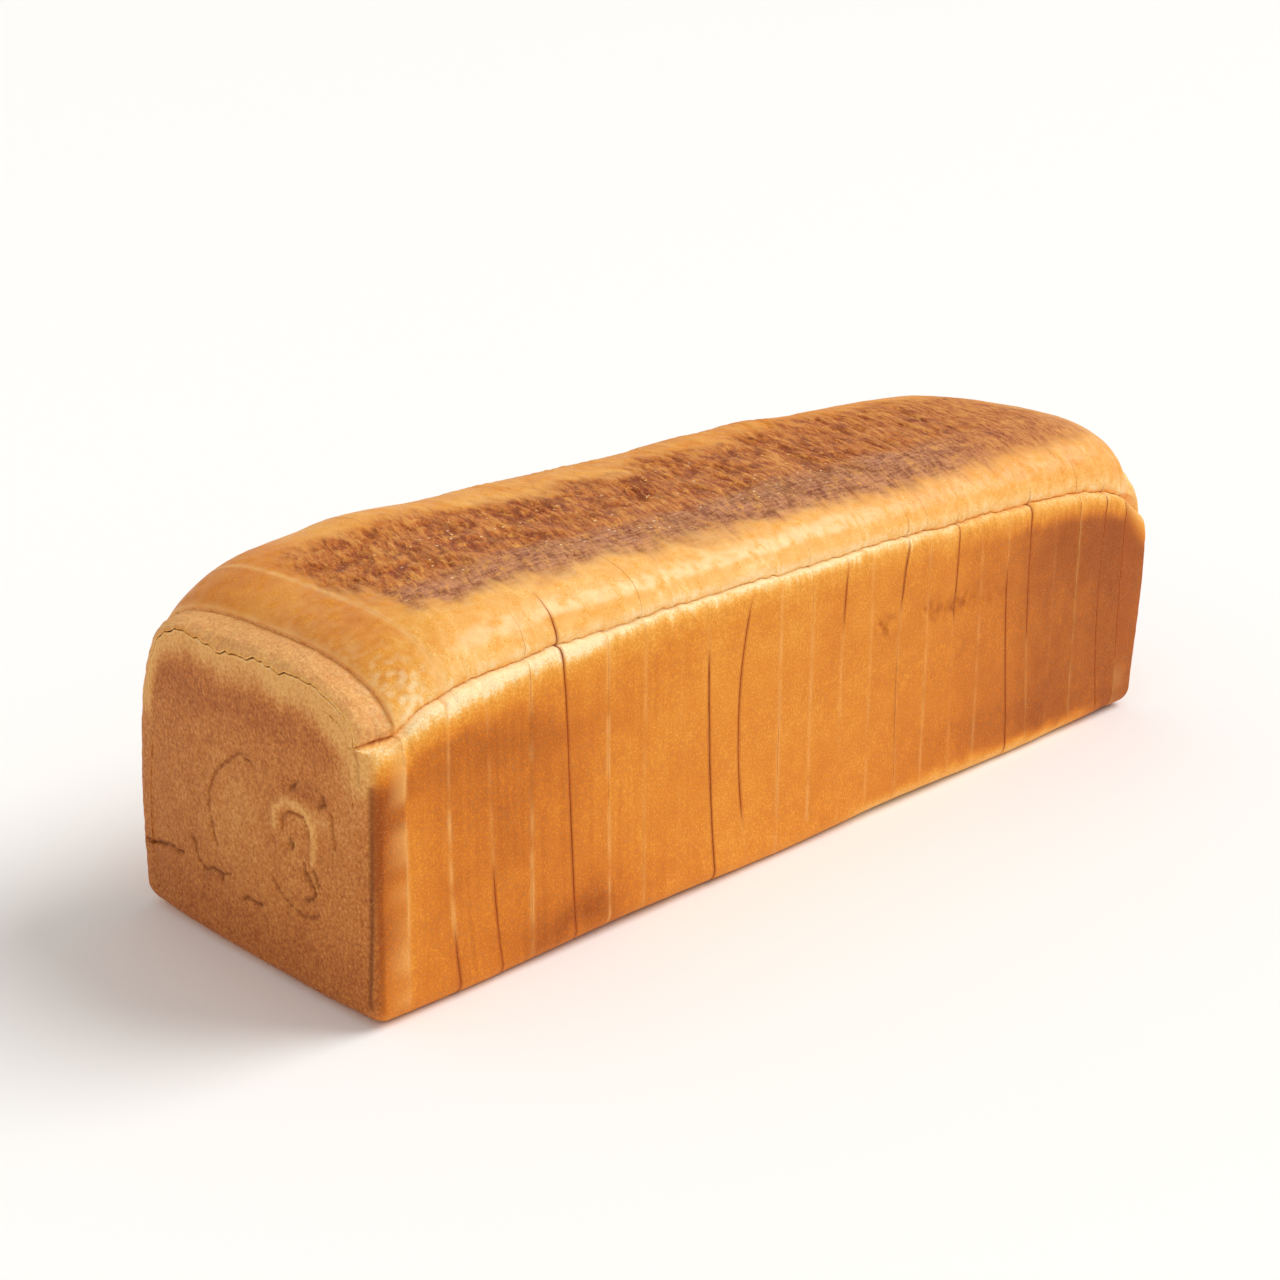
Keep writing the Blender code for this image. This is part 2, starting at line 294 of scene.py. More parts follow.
def seam_height(x, side):
    """Height of the seam. At the near end of the -Y side it levels out before it meets the end face."""
    near, far = end_distances(x)
    drop = np.exp(-near / NEAR_DROP_REACH) + np.exp(-far / FAR_DROP_REACH)
    height = SEAM_HEIGHT - SEAM_ARCH * (x / HALF_LENGTH) ** 2 - SEAM_DROP * drop
    if side < 0:
        level = NEAR_SEAM_FOOT + np.logaddexp(0.0, height - NEAR_SEAM_FOOT)
        height = height + (level - height) * smooth(-x / 40)
    return height


def crown_height(x):
    """Height of the middle of the crown."""
    near, far = end_distances(x)
    rise = CROWN_RISE * smooth((near - CROWN_RISE_START) / CROWN_RISE_LENGTH)
    sag = NEAR_SAG * smooth(1 - near / NEAR_SAG_REACH)
    dips = NEAR_DIP * np.exp(-near / NEAR_DIP_REACH) + FAR_DIP * np.exp(-far / FAR_DIP_REACH)
    return CROWN_HEIGHT + rise - sag - dips


def crown_half_width(x):
    """Half the width of the crown at its widest."""
    reach = np.minimum(*end_distances(x)) / CROWN_NARROWING_REACH
    return CROWN_HALF_WIDTH - CROWN_NARROWING * np.exp(-reach)


def inwards(x):
    """0 at the ends, 1 where the crown has its full, square section."""
    return smooth(np.minimum(*end_distances(x)) / SQUARENESS_REACH)


def seam_jag(x, side):
    """How far the torn seam strays up and down along the loaf."""
    x = np.asarray(x, float)
    line = np.stack([x, np.full_like(x, side * 40.0), np.zeros_like(x)], -1).reshape(-1, 3)
    jag = 0.55 * noise(11, line, 14.0) + 0.48 * noise(12, line, 5.0) + 0.34 * noise(13, line, 2.2)
    return jag.reshape(x.shape)


def seam_gap(x, side):
    """How wide the seam stands open."""
    x = np.asarray(x, float)
    line = np.stack([x, np.full_like(x, side * 40.0), np.zeros_like(x)], -1).reshape(-1, 3)
    gap = (0.42 + 0.30 * noise(14, line, 7.0) + 0.15 * noise(15, line, 2.2)).reshape(x.shape)
    return gap * (0.35 + 0.65 * smooth((x + HALF_LENGTH - 8) / 8))


class WallPlan:
    """The points of half an outline from the middle of the base to the bottom of the seam."""

    BASE, CORNER, WALL, LIP, GROOVE = range(5)

    def __init__(self, base_steps):
        kinds = [(self.BASE, step / base_steps) for step in range(base_steps)]
        kinds += [(self.CORNER, step / CORNER_STEPS) for step in range(CORNER_STEPS)]
        kinds += [(self.WALL, step / WALL_STEPS) for step in range(WALL_STEPS)]
        kinds += [(self.LIP, step / LIP_STEPS) for step in range(LIP_STEPS + 1)]
        kinds += [(self.GROOVE, 0.0)]
        self.kind = np.array([kind for kind, _ in kinds])
        self.share = np.array([share for _, share in kinds])
        self.count = len(kinds)

    def points(self, x, side):
        """y, z and the inward direction of every point, for x of one station a row."""
        share, turn = self.share, self.share * math.pi / 2
        lift, foot = base_lift(x), BASE_HALF_WIDTH - BASE_EDGE_RADIUS
        groove = seam_height(x, side) + seam_jag(x, side)
        top = seam_height(x, side) - LIP_HEIGHT
        corner_z = lift + BASE_EDGE_RADIUS * (1 - np.cos(turn))
        wall_z = lift + BASE_EDGE_RADIUS + (top - lift - BASE_EDGE_RADIUS) * share
        lip_z = top + (groove - seam_gap(x, side) / 2 - top) * np.sin(turn)
        rim = wall_half_width(top)
        flare = wall_half_width(corner_z) - BASE_HALF_WIDTH
        zeros = np.zeros_like(x + share)
        kinds = [self.kind == kind for kind in range(5)]
        y = np.select(
            kinds,
            [
                foot * share + zeros,
                foot + flare + BASE_EDGE_RADIUS * np.sin(turn),
                wall_half_width(wall_z),
                rim - LIP_DEPTH * (1 - np.cos(turn)),
                rim - SEAM_DEPTH + zeros,
            ],
        )
        z = np.select(
            kinds,
            [
                lift * smooth((share - BASE_FLAT_SHARE) / (1 - BASE_FLAT_SHARE)),
                corner_z,
                wall_z,
                lip_z,
                groove + zeros,
            ],
        )
        in_y = np.select(kinds, [zeros, -np.sin(turn) + zeros, zeros - 1, zeros - 1, zeros - 1])
        in_z = np.select(kinds, [zeros + 1, np.cos(turn) + zeros, zeros, zeros, zeros])
        return y, z, in_y, in_z


def even_curve(y, z, steps):
    """The same curve with its points evenly spaced."""
    run = np.concatenate([[0.0], np.cumsum(np.hypot(np.diff(y), np.diff(z)))])
    places = np.linspace(0.0, run[-1], steps + 1)
    return np.interp(places, run, y), np.interp(places, run, z)


def crown_curve(half_width, foot, equator, top, squareness):
    """The crown's half section from its undercut foot, round its widest line, to the middle."""
    turn = np.linspace(0, math.pi / 2, 12)[:-1]
    foot_y = half_width - CROWN_OVERHANG * (1 - np.sin(turn))
    foot_z = equator - (equator - foot) * np.cos(turn)
    turn = math.pi / 2 * (1 - np.linspace(1, 0, 500) ** 2)
    arch_y = half_width * np.maximum(np.cos(turn), 0.0) ** (2 / squareness)
    arch_z = equator + (top - equator) * np.sin(turn)
    arch_y[-1] = 0.0
    return even_curve(np.append(foot_y, arch_y), np.append(foot_z, arch_z), CROWN_STEPS)


def crown_section(x, side):
    """y and z of half the crown at one station."""
    seam = seam_height(x, side)
    foot = seam + seam_jag(x, side) + seam_gap(x, side) / 2
    equator = seam + LEAST_EQUATOR_HEIGHT + (EQUATOR_HEIGHT - LEAST_EQUATOR_HEIGHT) * inwards(x)
    squareness = END_SQUARENESS + (CROWN_SQUARENESS - END_SQUARENESS) * inwards(x)
    equator = max(equator, foot + 0.2)
    return crown_curve(crown_half_width(x), foot, equator, crown_height(x), squareness)


def half_outlines(plan, stations, side):
    """y and z of half the outline at each station, as rows."""
    y, z, _, _ = plan.points(stations[:, None], side)
    crowns = [crown_section(x, side) for x in stations]
    crown_y = np.array([crown[0] for crown in crowns])
    crown_z = np.array([crown[1] for crown in crowns])
    return np.hstack([y, crown_y]), np.hstack([z, crown_z])


def closed_rings(y_left, z_left, y_right, z_right):
    """Closed rings from their halves: up the +Y side, over the crown and down the -Y side."""
    y = np.hstack([y_left, -y_right[:, -2:0:-1]])
    return y, np.hstack([z_left, z_right[:, -2:0:-1]])


def tilted(points):
    """Raises the far side of the crown a little, along the middle of the loaf."""
    above = smooth((points[..., 2] - RIM_HEIGHT) / (CROWN_HEIGHT - RIM_HEIGHT))
    share = smooth(np.minimum(*end_distances(points[..., 0])) / NEAR_SAG_REACH)
    points[..., 2] += CROWN_TILT * points[..., 1] * above * share
    return points


def cut_lean(x):
    """How far the cuts lean along the loaf, for each millimetre of height."""
    return CUT_LEAN * smooth((x + HALF_LENGTH) / (2 * HALF_LENGTH))


def cut_bow(number, z):
    """How far a cut strays along the loaf from its plane, at a height."""
    curve = np.polyfit(BOW_HEIGHTS, CUTS.get(number, PLAIN_CUT).bow, 3)
    return np.polyval(curve, np.clip(z, 0.0, BOW_TOP))


def openness(number, z):
    """1 where a cut stands open, 0 where it is closed."""
    cut = CUTS.get(number, PLAIN_CUT)
    return window(z, cut.low, cut.high, OPEN_MARGIN) if cut.gap else np.zeros_like(z)


def cut_gap(number, z, closed_gap):
    """Space between the two sides of a cut at a height."""
    gap = CUTS.get(number, PLAIN_CUT).gap
    return closed_gap + gap * openness(number, z)


def edge_radius(number):
    """Radius of the worn edge of a cut, wider where the cut stands open."""
    return LIP_RADIUS if number == 1 else 0.06 + 1.3 * CUTS.get(number, PLAIN_CUT).gap


# Surface detail


class Crust:
    """Points of crust with what their detail depends on.

    v is the distance from the seam, positive on the crown. crown, wall, end_face, front (the -Y side),
    near_half and heel_top (the crown between the near crack and the first cut) are shares from 0 to 1.
    """

    def __init__(self, points, seam_reach, end_face):
        self.points = points
        self.x, self.y, self.z = points.T
        self.near, self.far = end_distances(self.x)
        self.v = seam_reach
        self.end_face = end_face
        self.crown = smooth(seam_reach / 0.8) * (1 - end_face)
        self.wall = smooth(-seam_reach / 0.8) * (1 - end_face)
        self.front = smooth(0.5 - self.y / 10)
        self.near_half = smooth(-self.x / 20)
        self.heel_top = self.crown * smooth((FIRST_CUT - self.x) / 0.8)

    def streaks(self, seed, slant, across, along):
        """Noise drawn out across the loaf, at a slant."""
        laid = np.stack([self.x - slant * self.y, self.y, 0 * self.z], 1)
        return noise(seed, laid, across, along, 1.0)


def polyline_distance(a, b, corners):
    """Distance of points (a, b) from a line through corners."""
    best = np.full(len(a), 1e9)
    for (a0, b0), (a1, b1) in itertools.pairwise(corners):
        da, db = a1 - a0, b1 - b0
        t = np.clip(((a - a0) * da + (b - b0) * db) / (da * da + db * db), 0, 1)
        best = np.minimum(best, np.hypot(a - a0 - t * da, b - b0 - t * db))
    return best


def band(c):
    """The browned band along the top of the crown, 1 inside it.

    Its front edge swings out along the middle, its back edge wanders, and both ends fade.
    """
    p = c.points
    stray = 3.0 * noise(31, p, 22.0) + 2.2 * noise(32, p, 5.0, 9.0, 9.0) + 1.6 * noise(33, p, 1.8, 5.0, 5.0)
    front = -36.0 - 6.0 * smooth((c.x + 110) / 130) + 5.0 * smooth((c.x - 105) / 45)
    back = 20.0 - 3.5 * np.exp(-(((c.x + 40) / 45) ** 2)) + 3.0 * smooth((c.x - 10) / 60)
    across = smooth((c.y + stray - front) / 9.0 + 0.5) * smooth((back - c.y + 2.2 * stray) / 14.0 + 0.5)
    start = smooth((c.x + 138.0 - 0.012 * (c.y + 4) ** 2 + 1.6 * stray) / 12.0 + 0.5)
    end = smooth((158.0 - c.x + 1.5 * stray) / 30.0)
    return across * start * end * c.crown


# The longest wrinkles across the crown, as (x, y) corners
LONG_WRINKLES = [
    [(40, -12), (45, 2), (49, 15), (57, 28), (66, 42)],
    [(58, -22), (65, -6), (70, 6), (76, 22), (86, 42)],
    [(24, -26), (31, -8), (36, 5), (40, 18)],
    [(-9, -12), (-3, 2), (2, 14), (8, 26)],
    [(100, -6), (106, 8), (114, 24)],
]


def lines(value, width):
    """1 where a value passes through zero, fading out over a width."""
    return smooth(1 - np.abs(value) / width)


def wrinkles(c, inside):
    """Wrinkles across the top of the crown, 1 in the deepest, and how the skin between them rises and sinks.

    They are short near the near end, longer and wider apart towards the far one, and run along the loaf in a
    narrow strip on the front edge of the band.
    """
    far = smooth((c.x + 5) / 40)
    broad, narrow = c.streaks(41, 0.30, 3.6, 13.0), c.streaks(42, 0.34, 1.9, 7.0)
    long_broad, long_narrow = c.streaks(43, 0.42, 8.0, 34.0), c.streaks(44, 0.46, 3.2, 16.0)
    fine = np.maximum(lines(broad, 0.30), 0.7 * lines(narrow, 0.34))
    long = np.maximum(lines(long_broad, 0.18), 0.6 * lines(long_narrow, 0.28))
    folds = (0.6 * broad + 0.5 * narrow) * (1 - far) + (0.6 * long_broad + 0.5 * long_narrow) * far
    patches = smooth(0.55 + 0.9 * noise(45, c.points, 11.0))
    calm = 1 - 0.65 * smooth((c.x - 88) / 35)
    middle = smooth((c.y + 25 + 3 * noise(46, c.points, 8.0)) / 10) * calm
    deep = (fine * (1 - far) + long * far) * patches * middle
    warp = 0.8 * noise(47, c.points, 7.0) + 0.4 * noise(48, c.points, 2.5)
    for corners in LONG_WRINKLES:
        line = smooth(1 - polyline_distance(c.x + warp, c.y, corners) / 1.4)
        deep = np.maximum(deep, line * smooth(0.7 + noise(49, c.points, 9.0)))
    laid = np.stack([c.x, c.y, 0 * c.z], 1)
    broad, narrow = noise(50, laid, 9.0, 2.6, 1.0), noise(51, laid, 4.0, 1.6, 1.0)
    ripples = np.maximum(lines(broad, 0.3), 0.7 * lines(narrow, 0.3))
    strip = ripples * smooth(0.3 + noise(52, c.points, 6.0)) * (1 - middle) * smooth((85 - c.x) / 50)
    back = smooth((c.y - 16) / 10)
    spread = np.clip(inside + 0.55 * back * c.crown * window(c.x, -60, 95, 50), 0, 1)
    return np.clip(deep * spread + 0.6 * strip * inside, 0, 1), folds * middle * spread


def scuffs(c):
    """The crumbly scuffed skin on the near shoulder."""
    near = spot(c.x, c.z, (-146.5, 79.0), (7.5, 7.5))
    far = 0.5 * spot(c.x, c.z, (-114.0, 86.0), (2.2, 4.0))
    return np.clip(near + far, 0, 1) * c.front * smooth((c.v - 0.4) / 1.5)


def blemish(c):
    """The rough torn strip high on the near long side."""
    line = 59.5 - 0.03 * (c.x - 20) + 1.8 * noise(53, c.points, 9.0)
    length = hump(c.x, 22, 4.5) + 0.8 * window(c.x, 38, 62, 10) + 0.45 * window(c.x, 60, 82, 12)
    return np.clip(hump(c.z, line, 3.4) * length, 0, 1) * c.front * c.wall


# Marks on the near end face, as (y, z) corners
END_CRACKS = [
    [(49.8, 18.8), (46, 19.6), (38, 21), (29, 21.4)],
    [(24.5, 27.5), (23, 26.5), (22.4, 24.5), (21.5, 22.3), (19.5, 20.6)],
    [(19.5, 20.6), (15.2, 21.1), (11.2, 21.8), (7, 22.6)],
    [(11.4, 22), (10.7, 19.5)],
    [(1.8, 17.7), (-0.8, 18.6), (-3.8, 18.1), (-6.5, 19)],
    [(-25, 36.2), (-26, 34), (-27.8, 31.5), (-29.3, 29), (-27.8, 27.3), (-24.8, 25.8)],
    [(-28.8, 35.5), (-30.6, 31.4)],
    [(-20.0, 41), (-20.4, 38.6), (-21.5, 39.8)],
    [(-21, 54.2), (-23, 55.4)],
    [(-31.8, 52.2), (-34.2, 53.4), (-33.6, 55.6)],
]
END_FOLDS = [
    [(15, 38), (14.6, 43), (12.2, 47), (9.9, 50), (6.7, 53), (3.2, 55.2), (0, 56.8), (-5.4, 56.4)],
    [(-17, 43), (-17.8, 46), (-20.3, 47.8), (-23.3, 48.3), (-26.3, 47.3), (-27.7, 45.3), (-27.3, 43.6)],
    [(-11.8, 27.5), (-15.3, 25), (-19.3, 22.8), (-23.3, 21.5), (-27.3, 22), (-29.8, 24.5)],
    [(-36.2, 51.5), (-37.8, 43.5)],
    [(15, 36), (13.5, 31), (12.5, 29)],
    [(-47.2, 70), (-47.8, 63)],
]
END_CURL = [(-13.5, 43), (-15, 47), (-18, 50.2), (-22, 50.8), (-26.5, 49.8), (-29.2, 46.5), (-29.8, 42)]
END_CURL += [(-29, 37)]
# The upright edge at the front corner, with a dark line of painted shade along it
END_ARRIS = [(-48.2, 6), (-48.8, 14), (-49.6, 25), (-50.5, 44), (-50.9, 62)]
CRACK_WIDTH = 0.8
FOLD_WIDTH = 0.8
CURL_WIDTH = 2.2
ARRIS_WIDTH = 1.25


def end_marks(c):
    """Cracks, folds, the curl, the pebbly patch and the arris of the near end face; shade is painted along
    the arris.
    """
    p = c.points
    y = c.y + 0.7 * noise(61, p, 5.0) + 0.35 * noise(62, p, 1.8)
    z = c.z + 0.7 * noise(63, p, 5.0) + 0.35 * noise(64, p, 1.8)
    here = c.end_face * c.near_half
    marks = {}
    for name, paths, width in (
        ("crack", END_CRACKS, CRACK_WIDTH),
        ("fold", END_FOLDS, FOLD_WIDTH),
        ("curl", [END_CURL], CURL_WIDTH),
    ):
        distance = np.min([polyline_distance(y, z, corners) for corners in paths], axis=0)
        marks[name] = smooth(1 - distance / width) * here
    marks["pebbles"] = spot(c.y, c.z, (1, 40), (14, 13)) * here
    arris = smooth(1 - polyline_distance(c.y, c.z, END_ARRIS) / ARRIS_WIDTH) * smooth((4.2 - c.near) / 1.5)
    marks["arris"] = arris * window(c.z, 2, 64, 8) * c.near_half
    return marks


# Swells along the back edge of the crown, as (x, height, width)
SWELLS = [(-99, 1.6, 15), (-49, 0.9, 16), (29, 0.8, 13), (57, 1.5, 13)]


def settling(c):
    """How the crown swells along its back edge and sinks at one corner of each end."""
    swell = sum(height * hump(c.x, x, width) for x, height, width in SWELLS)
    near = 1.8 * spot(c.y, c.z, (49, 79), (8, 9)) * hump(c.near, 0, 12)
    far = 2.6 * hump(c.far, 4, 8) * smooth((-c.y - 8) / 30)
    return c.crown * (swell * smooth((c.y - 12) / 22) - far) - near


def relief(c, marks, sizes):
    """How far the crust stands out from its plain form, in millimetres, and how wrinkled it is."""
    p = c.points
    inside = band(c)
    deep, folds = wrinkles(c, inside)
    # gentle unevenness all over, and more of it on the crown
    height = 0.22 * rough(71, p, 34.0, 2) + 0.05 * noise(74, p, 3.0)
    height += c.crown * (0.30 * noise(75, p, 26.0, 60.0, 60.0) + 0.10 * rough(76, p, 9.0, 2))
    # the browned band, the shoulder in front of it and the trough above the seam
    height += inside * 0.10 * noise(78, p, 1.7) - 0.36 * folds - sizes.wrinkle_depth / MM * deep + settling(c)
    shoulder = c.crown * c.front * (1 - inside)
    height += shoulder * (0.07 * noise(79, p, 4.0) + 0.035 * noise(80, p, 1.7))
    trough = hump(c.v, 5.2 + 0.8 * noise(81, p, 30.0), 1.5) * window(c.x, -118, 10, 40)
    height -= 0.30 * trough * c.crown * c.front
    # upright streaks on the walls and the torn lip under the seam
    height += 0.05 * noise(82, p, 0.9, 5.0, 30.0) * window(c.x, -160, -60, 40) * c.wall
    lip = hump(c.v, -3.0, 3.2) * c.wall
    height += lip * (0.28 * noise(83, p, 2.0, 2.0, 4.0) + 0.16 * noise(84, p, 1.3, 1.3, 2.2))
    lumps = noise(85, p, 2.6, 2.6, 2.0) * 0.9 + noise(86, p, 1.5)
    height += blemish(c) * (0.6 * lumps - 0.3)
    height += scuffs(c) * (0.5 * np.abs(noise(87, p, 2.4, 2.4, 2.0)) + 0.2 * noise(88, p, 1.5) - 0.25)
    # the end faces and the strip above the near crack
    height += c.end_face * (0.18 * rough(91, p, 7.0, 3) + 0.09 * noise(94, p, 1.7))
    height += c.heel_top * (0.28 * noise(95, p, 2.6, 6.0, 2.6) + 0.14 * noise(96, p, 1.4))
    height += 0.60 * marks["curl"] - 0.50 * marks["fold"] - 0.3 * marks["arris"]
    height += marks["pebbles"] * 0.16 * noise(97, p, 1.9) - sizes.crack_depth / MM * marks["crack"]
    # the crumbly corner where the seam meets the end face
    corner = spot(c.x, c.z, (-155, 70), (9, 8)) * c.front * smooth((-c.y - 30) / 12)
    crumbs = 0.7 * np.abs(noise(98, p, 3.0)) + 0.35 * noise(89, p, 1.5) - 0.3
    settled = smooth((np.abs(c.v) - 0.6) / 1.6) * smooth(c.z / 4)
    return height * settled + crumbs * corner * smooth(np.abs(c.v) / 0.6), deep, folds


def wall_bake(c):
    """How dark the walls that touched the tin are baked, from 0 for cream to 1 for dark brown, with painted
    shade along the near front arris.
    """
    p = c.points
    drift = 5.0 * noise(99, p, 16.0) + 2.5 * noise(100, p, 6.0)
    x, z = c.x + drift, c.z + 0.8 * drift
    bake = 0.49 + 0.035 * noise(101, p, 26.0) + 0.03 * rough(102, p, 8.0, 3)
    # darker towards the far end, a little lighter in the middle and low down there
    bake += 0.34 * smooth((x - 25) / 115) - 0.03 * window(x, -70, 10, 40)
    bake += 0.08 * window(x, 40, 110, 30) * hump(z, 15, 9)
    bake -= 0.04 * smooth((x - 60) / 40) * smooth((58 - z) / 20)
    # upright streaks, and one tone a slice
    bake += 0.05 * noise(105, p, 1.3, 6.0, 40.0) * window(c.x, -165, -60, 40)
    bake += 0.03 * noise(109, p * (1, 0, 0), 13.0)
    # darker places on the front of the near third
    dark = 0.20 * spot(x, z, (-112, 61), (24, 10)) + 0.24 * spot(x, z, (-99, 9), (19, 9))
    dark += 0.14 * smooth((-115 - x) / 25) * smooth((z - 42) / 20)
    dark += 0.05 * window(x, -150, -90, 20) * window(z, 2, 52, 12)
    dark += 0.045 * window(x, -145, -90, 15) * window(z, 28, 52, 8)
    dark += 0.03 * window(x, -30, 30, 15) * window(z, 42, 62, 6)
    # the near heel's front, and a line of painted shade along its rounded upright edge
    dark += smooth((11 - c.near) / 2) * (0.06 + 0.13 * window(c.z, 18, 62, 14))
    dark += 0.09 * smooth((-150 - c.x) / 6) * window(c.z, 38, 54, 6)
    dark += 0.20 * hump(c.near, 2.2, 1.4) * window(c.z, 4, 60, 8)
    bake += c.front * dark
    # the torn lip under the seam stays cream, with a golden fringe
    fringe = 0.9 * noise(107, p, 1.3, 1.3, 9.0) + 0.8 * noise(106, p, 5.0)
    width = 2.9 + 0.7 * smooth((-105 - c.x) / 40) + 1.5 * window(c.x, -142, -86, 12) + fringe
    golden = smooth((c.v + width + 4.2) / 6.0 + 0.5)
    bake += (0.36 - bake) * golden * 0.92
    cream = smooth((c.v + width) / 4.0 + 0.5)
    bake += (-0.06 + 0.20 * smooth((c.x - 5) / 80) + 0.14 * smooth((-146 - c.x) / 8) - bake) * cream
    # the foot, where the dough hardly touched the tin
    foot = window(c.x, 8, 130, 30) * smooth((8.5 - c.z + 1.4 * noise(108, p, 6.0)) / 6)
    bake += (0.22 - bake) * foot * 0.9
    return bake - 0.08 * smooth((5 - c.z) / 5)


def crown_bake(c, deep, folds):
    """How dark the crown is baked outside the browned band, with painted shade in the wrinkles and a partly
    painted highlight on the front shoulder.
    """
    p = c.points
    bake = 0.24 + 0.04 * noise(111, p, 30.0, 20.0, 8.0) + 0.03 * rough(112, p, 6.0, 2)
    # darker at the near end, towards the far end and down the back
    near = smooth((-112 - c.x) / 26)
    bake += 0.15 * near * smooth((c.y + 44) / 30)
    bake += 0.07 * near * smooth((-c.y - 5) / 25) * smooth((c.v - 5) / 8)
    bake += 0.08 * smooth((c.x + 10) / 60) * smooth((c.v - 3) / 4)
    bake += 0.15 * smooth((c.y - 2) / 26) * (0.7 + 0.5 * noise(113, p, 4.0, 30.0, 30.0))
    bake += 0.06 * smooth((FIRST_CUT + SLICE_PITCH - c.x) / 0.6) * smooth((c.v - 2) / 6) * c.front
    # lighter just above the seam
    bake -= (0.08 + 0.08 * window(c.x, -95, 25, 40)) * hump(c.v, 0, 5.0)
    # light strokes and fine mottling on the front shoulder, partly the crust's own and partly its broken
    # highlight painted in, over a trough painted darker as shade
    strokes = lines(c.streaks(114, 0.25, 2.4, 16.0), 0.22) * smooth(0.4 + 1.4 * noise(115, p, 7.0))
    bake += c.front * (0.05 * noise(116, p, 2.6) + 0.03 * noise(117, p, 1.3) - 0.07 * strokes)
    bake += 0.05 * hump(c.v, 5.2, 2.0) * window(c.x, -118, 10, 40) * c.front
    # painted shade in the wrinkles of the browned band
    bake += 0.16 * deep + 0.06 * folds
    tan = 0.37 + 0.05 * noise(118, p, 3.0, 6.0, 3.0)
    return bake + (tan - bake) * c.heel_top


def end_bake(c, marks):
    """How dark the end faces are baked, with painted shade along their folds."""
    p = c.points
    bake = 0.60 + 0.04 * noise(121, p, 18.0) + 0.05 * rough(122, p, 5.0, 3)
    # darker below the crack and towards the base
    bake += 0.12 * hump(c.z, 69, 5.5) + 0.13 * smooth((26 - c.z) / 16)
    # painted shade along the folds; the pebbly patch and the curl are paler
    bake += 0.15 * marks["fold"] - 0.12 * marks["pebbles"] - 0.30 * marks["curl"]
    # pale and reddish places round the curl, and the pale front corner
    spots = 0.13 * spot(c.y, c.z, (-27, 54.5), (9, 2.8)) - 0.20 * spot(c.y, c.z, (-31, 48.5), (7, 3.4))
    spots -= 0.26 * spot(c.y, c.z, (-47, 66), (6.0, 9.0))
    bake += spots * c.near_half
    reach = 5.5 + 2.0 * smooth(-c.y / 25) + 3.0 * smooth((-27 - c.y) / 14) + 1.4 * noise(123, p, 8.0)
    cream = smooth((c.v + reach) / 8.5 + 0.5)
    return bake + (0.24 - bake) * cream


def browning(c, marks, deep, folds):
    """Masks that the crust's material reads, by name.

    bake is how dark plain crust is, with painted shade and light in places, roast the share of the browned
    band, tone and lilac its lightness and its dull front edge, tone with painted light on raised skin and
    painted shade in the wrinkles, crack the painted shade inside cracks, folds and open cuts and along the
    near front arris, and the darker torn strip, pale the floury skin, gloss the crown's sheen, speck where
    the flecks lie, and dull the end faces.
    """
    p = c.points
    inside = band(c)
    bake = wall_bake(c)
    bake = bake + (crown_bake(c, deep, folds) - bake) * (c.v > 0)
    bake = bake + (end_bake(c, marks) - bake) * c.end_face * (c.v <= 0)
    roast = inside * (0.92 + 0.08 * noise(131, p, 12.0))
    lilac = smooth((-18 - c.y + 4 * noise(132, p, 14.0)) / 9) * (1 - 0.75 * smooth((c.x - 55) / 50))
    # painted light and shade: lighter on raised skin, darker in the wrinkles
    tone = 0.58 - 0.50 * deep - 0.26 * folds + 0.12 * noise(135, p, 11.0) + 0.10 * smooth((c.x - 90) / 50)
    tone = tone + 0.14 * smooth((c.y - 4) / 24)
    pale = 0.75 * scuffs(c) * smooth(0.3 + 1.6 * noise(133, p, 1.9)) + 0.12 * c.heel_top
    red = 0.75 * blemish(c) * smooth(0.45 + 1.4 * noise(134, p, 2.6))
    gloss = c.crown * (1 - 0.80 * inside) * (1 - 0.6 * smooth((c.y + 10) / 30)) * (1 - 0.7 * scuffs(c))
    gloss = gloss * smooth(c.v / 3) * (1 - c.heel_top) * (1 - 0.45 * smooth((c.x + 10) / 50))
    gloss = gloss * smooth(0.75 + 0.8 * noise(136, p, 3.2) + 0.4 * noise(137, p, 1.4))
    speck = c.crown * inside * window(c.x, -125, 40, 50) * window(c.y, -34, 10, 14)
    return {
        "bake": np.clip(bake, -0.12, 1),
        "roast": np.clip(roast, 0, 1),
        "tone": np.clip(tone, 0, 1),
        "lilac": np.clip(lilac, 0, 1),
        # painted shade in cracks, folds and open cuts and along the near front arris; the torn strip's darker
        # colour is its own
        "crack": np.clip(0.85 * marks["crack"] + 0.4 * marks["fold"] + red + 0.8 * marks["arris"], 0, 1),
        "pale": np.clip(pale, 0, 1),
        "gloss": np.clip(gloss, 0, 1),
        "speck": np.clip(speck, 0, 1),
        "dull": np.clip(c.end_face * (c.v <= 0) + 0.8 * c.heel_top, 0, 1),
    }


# Meshes


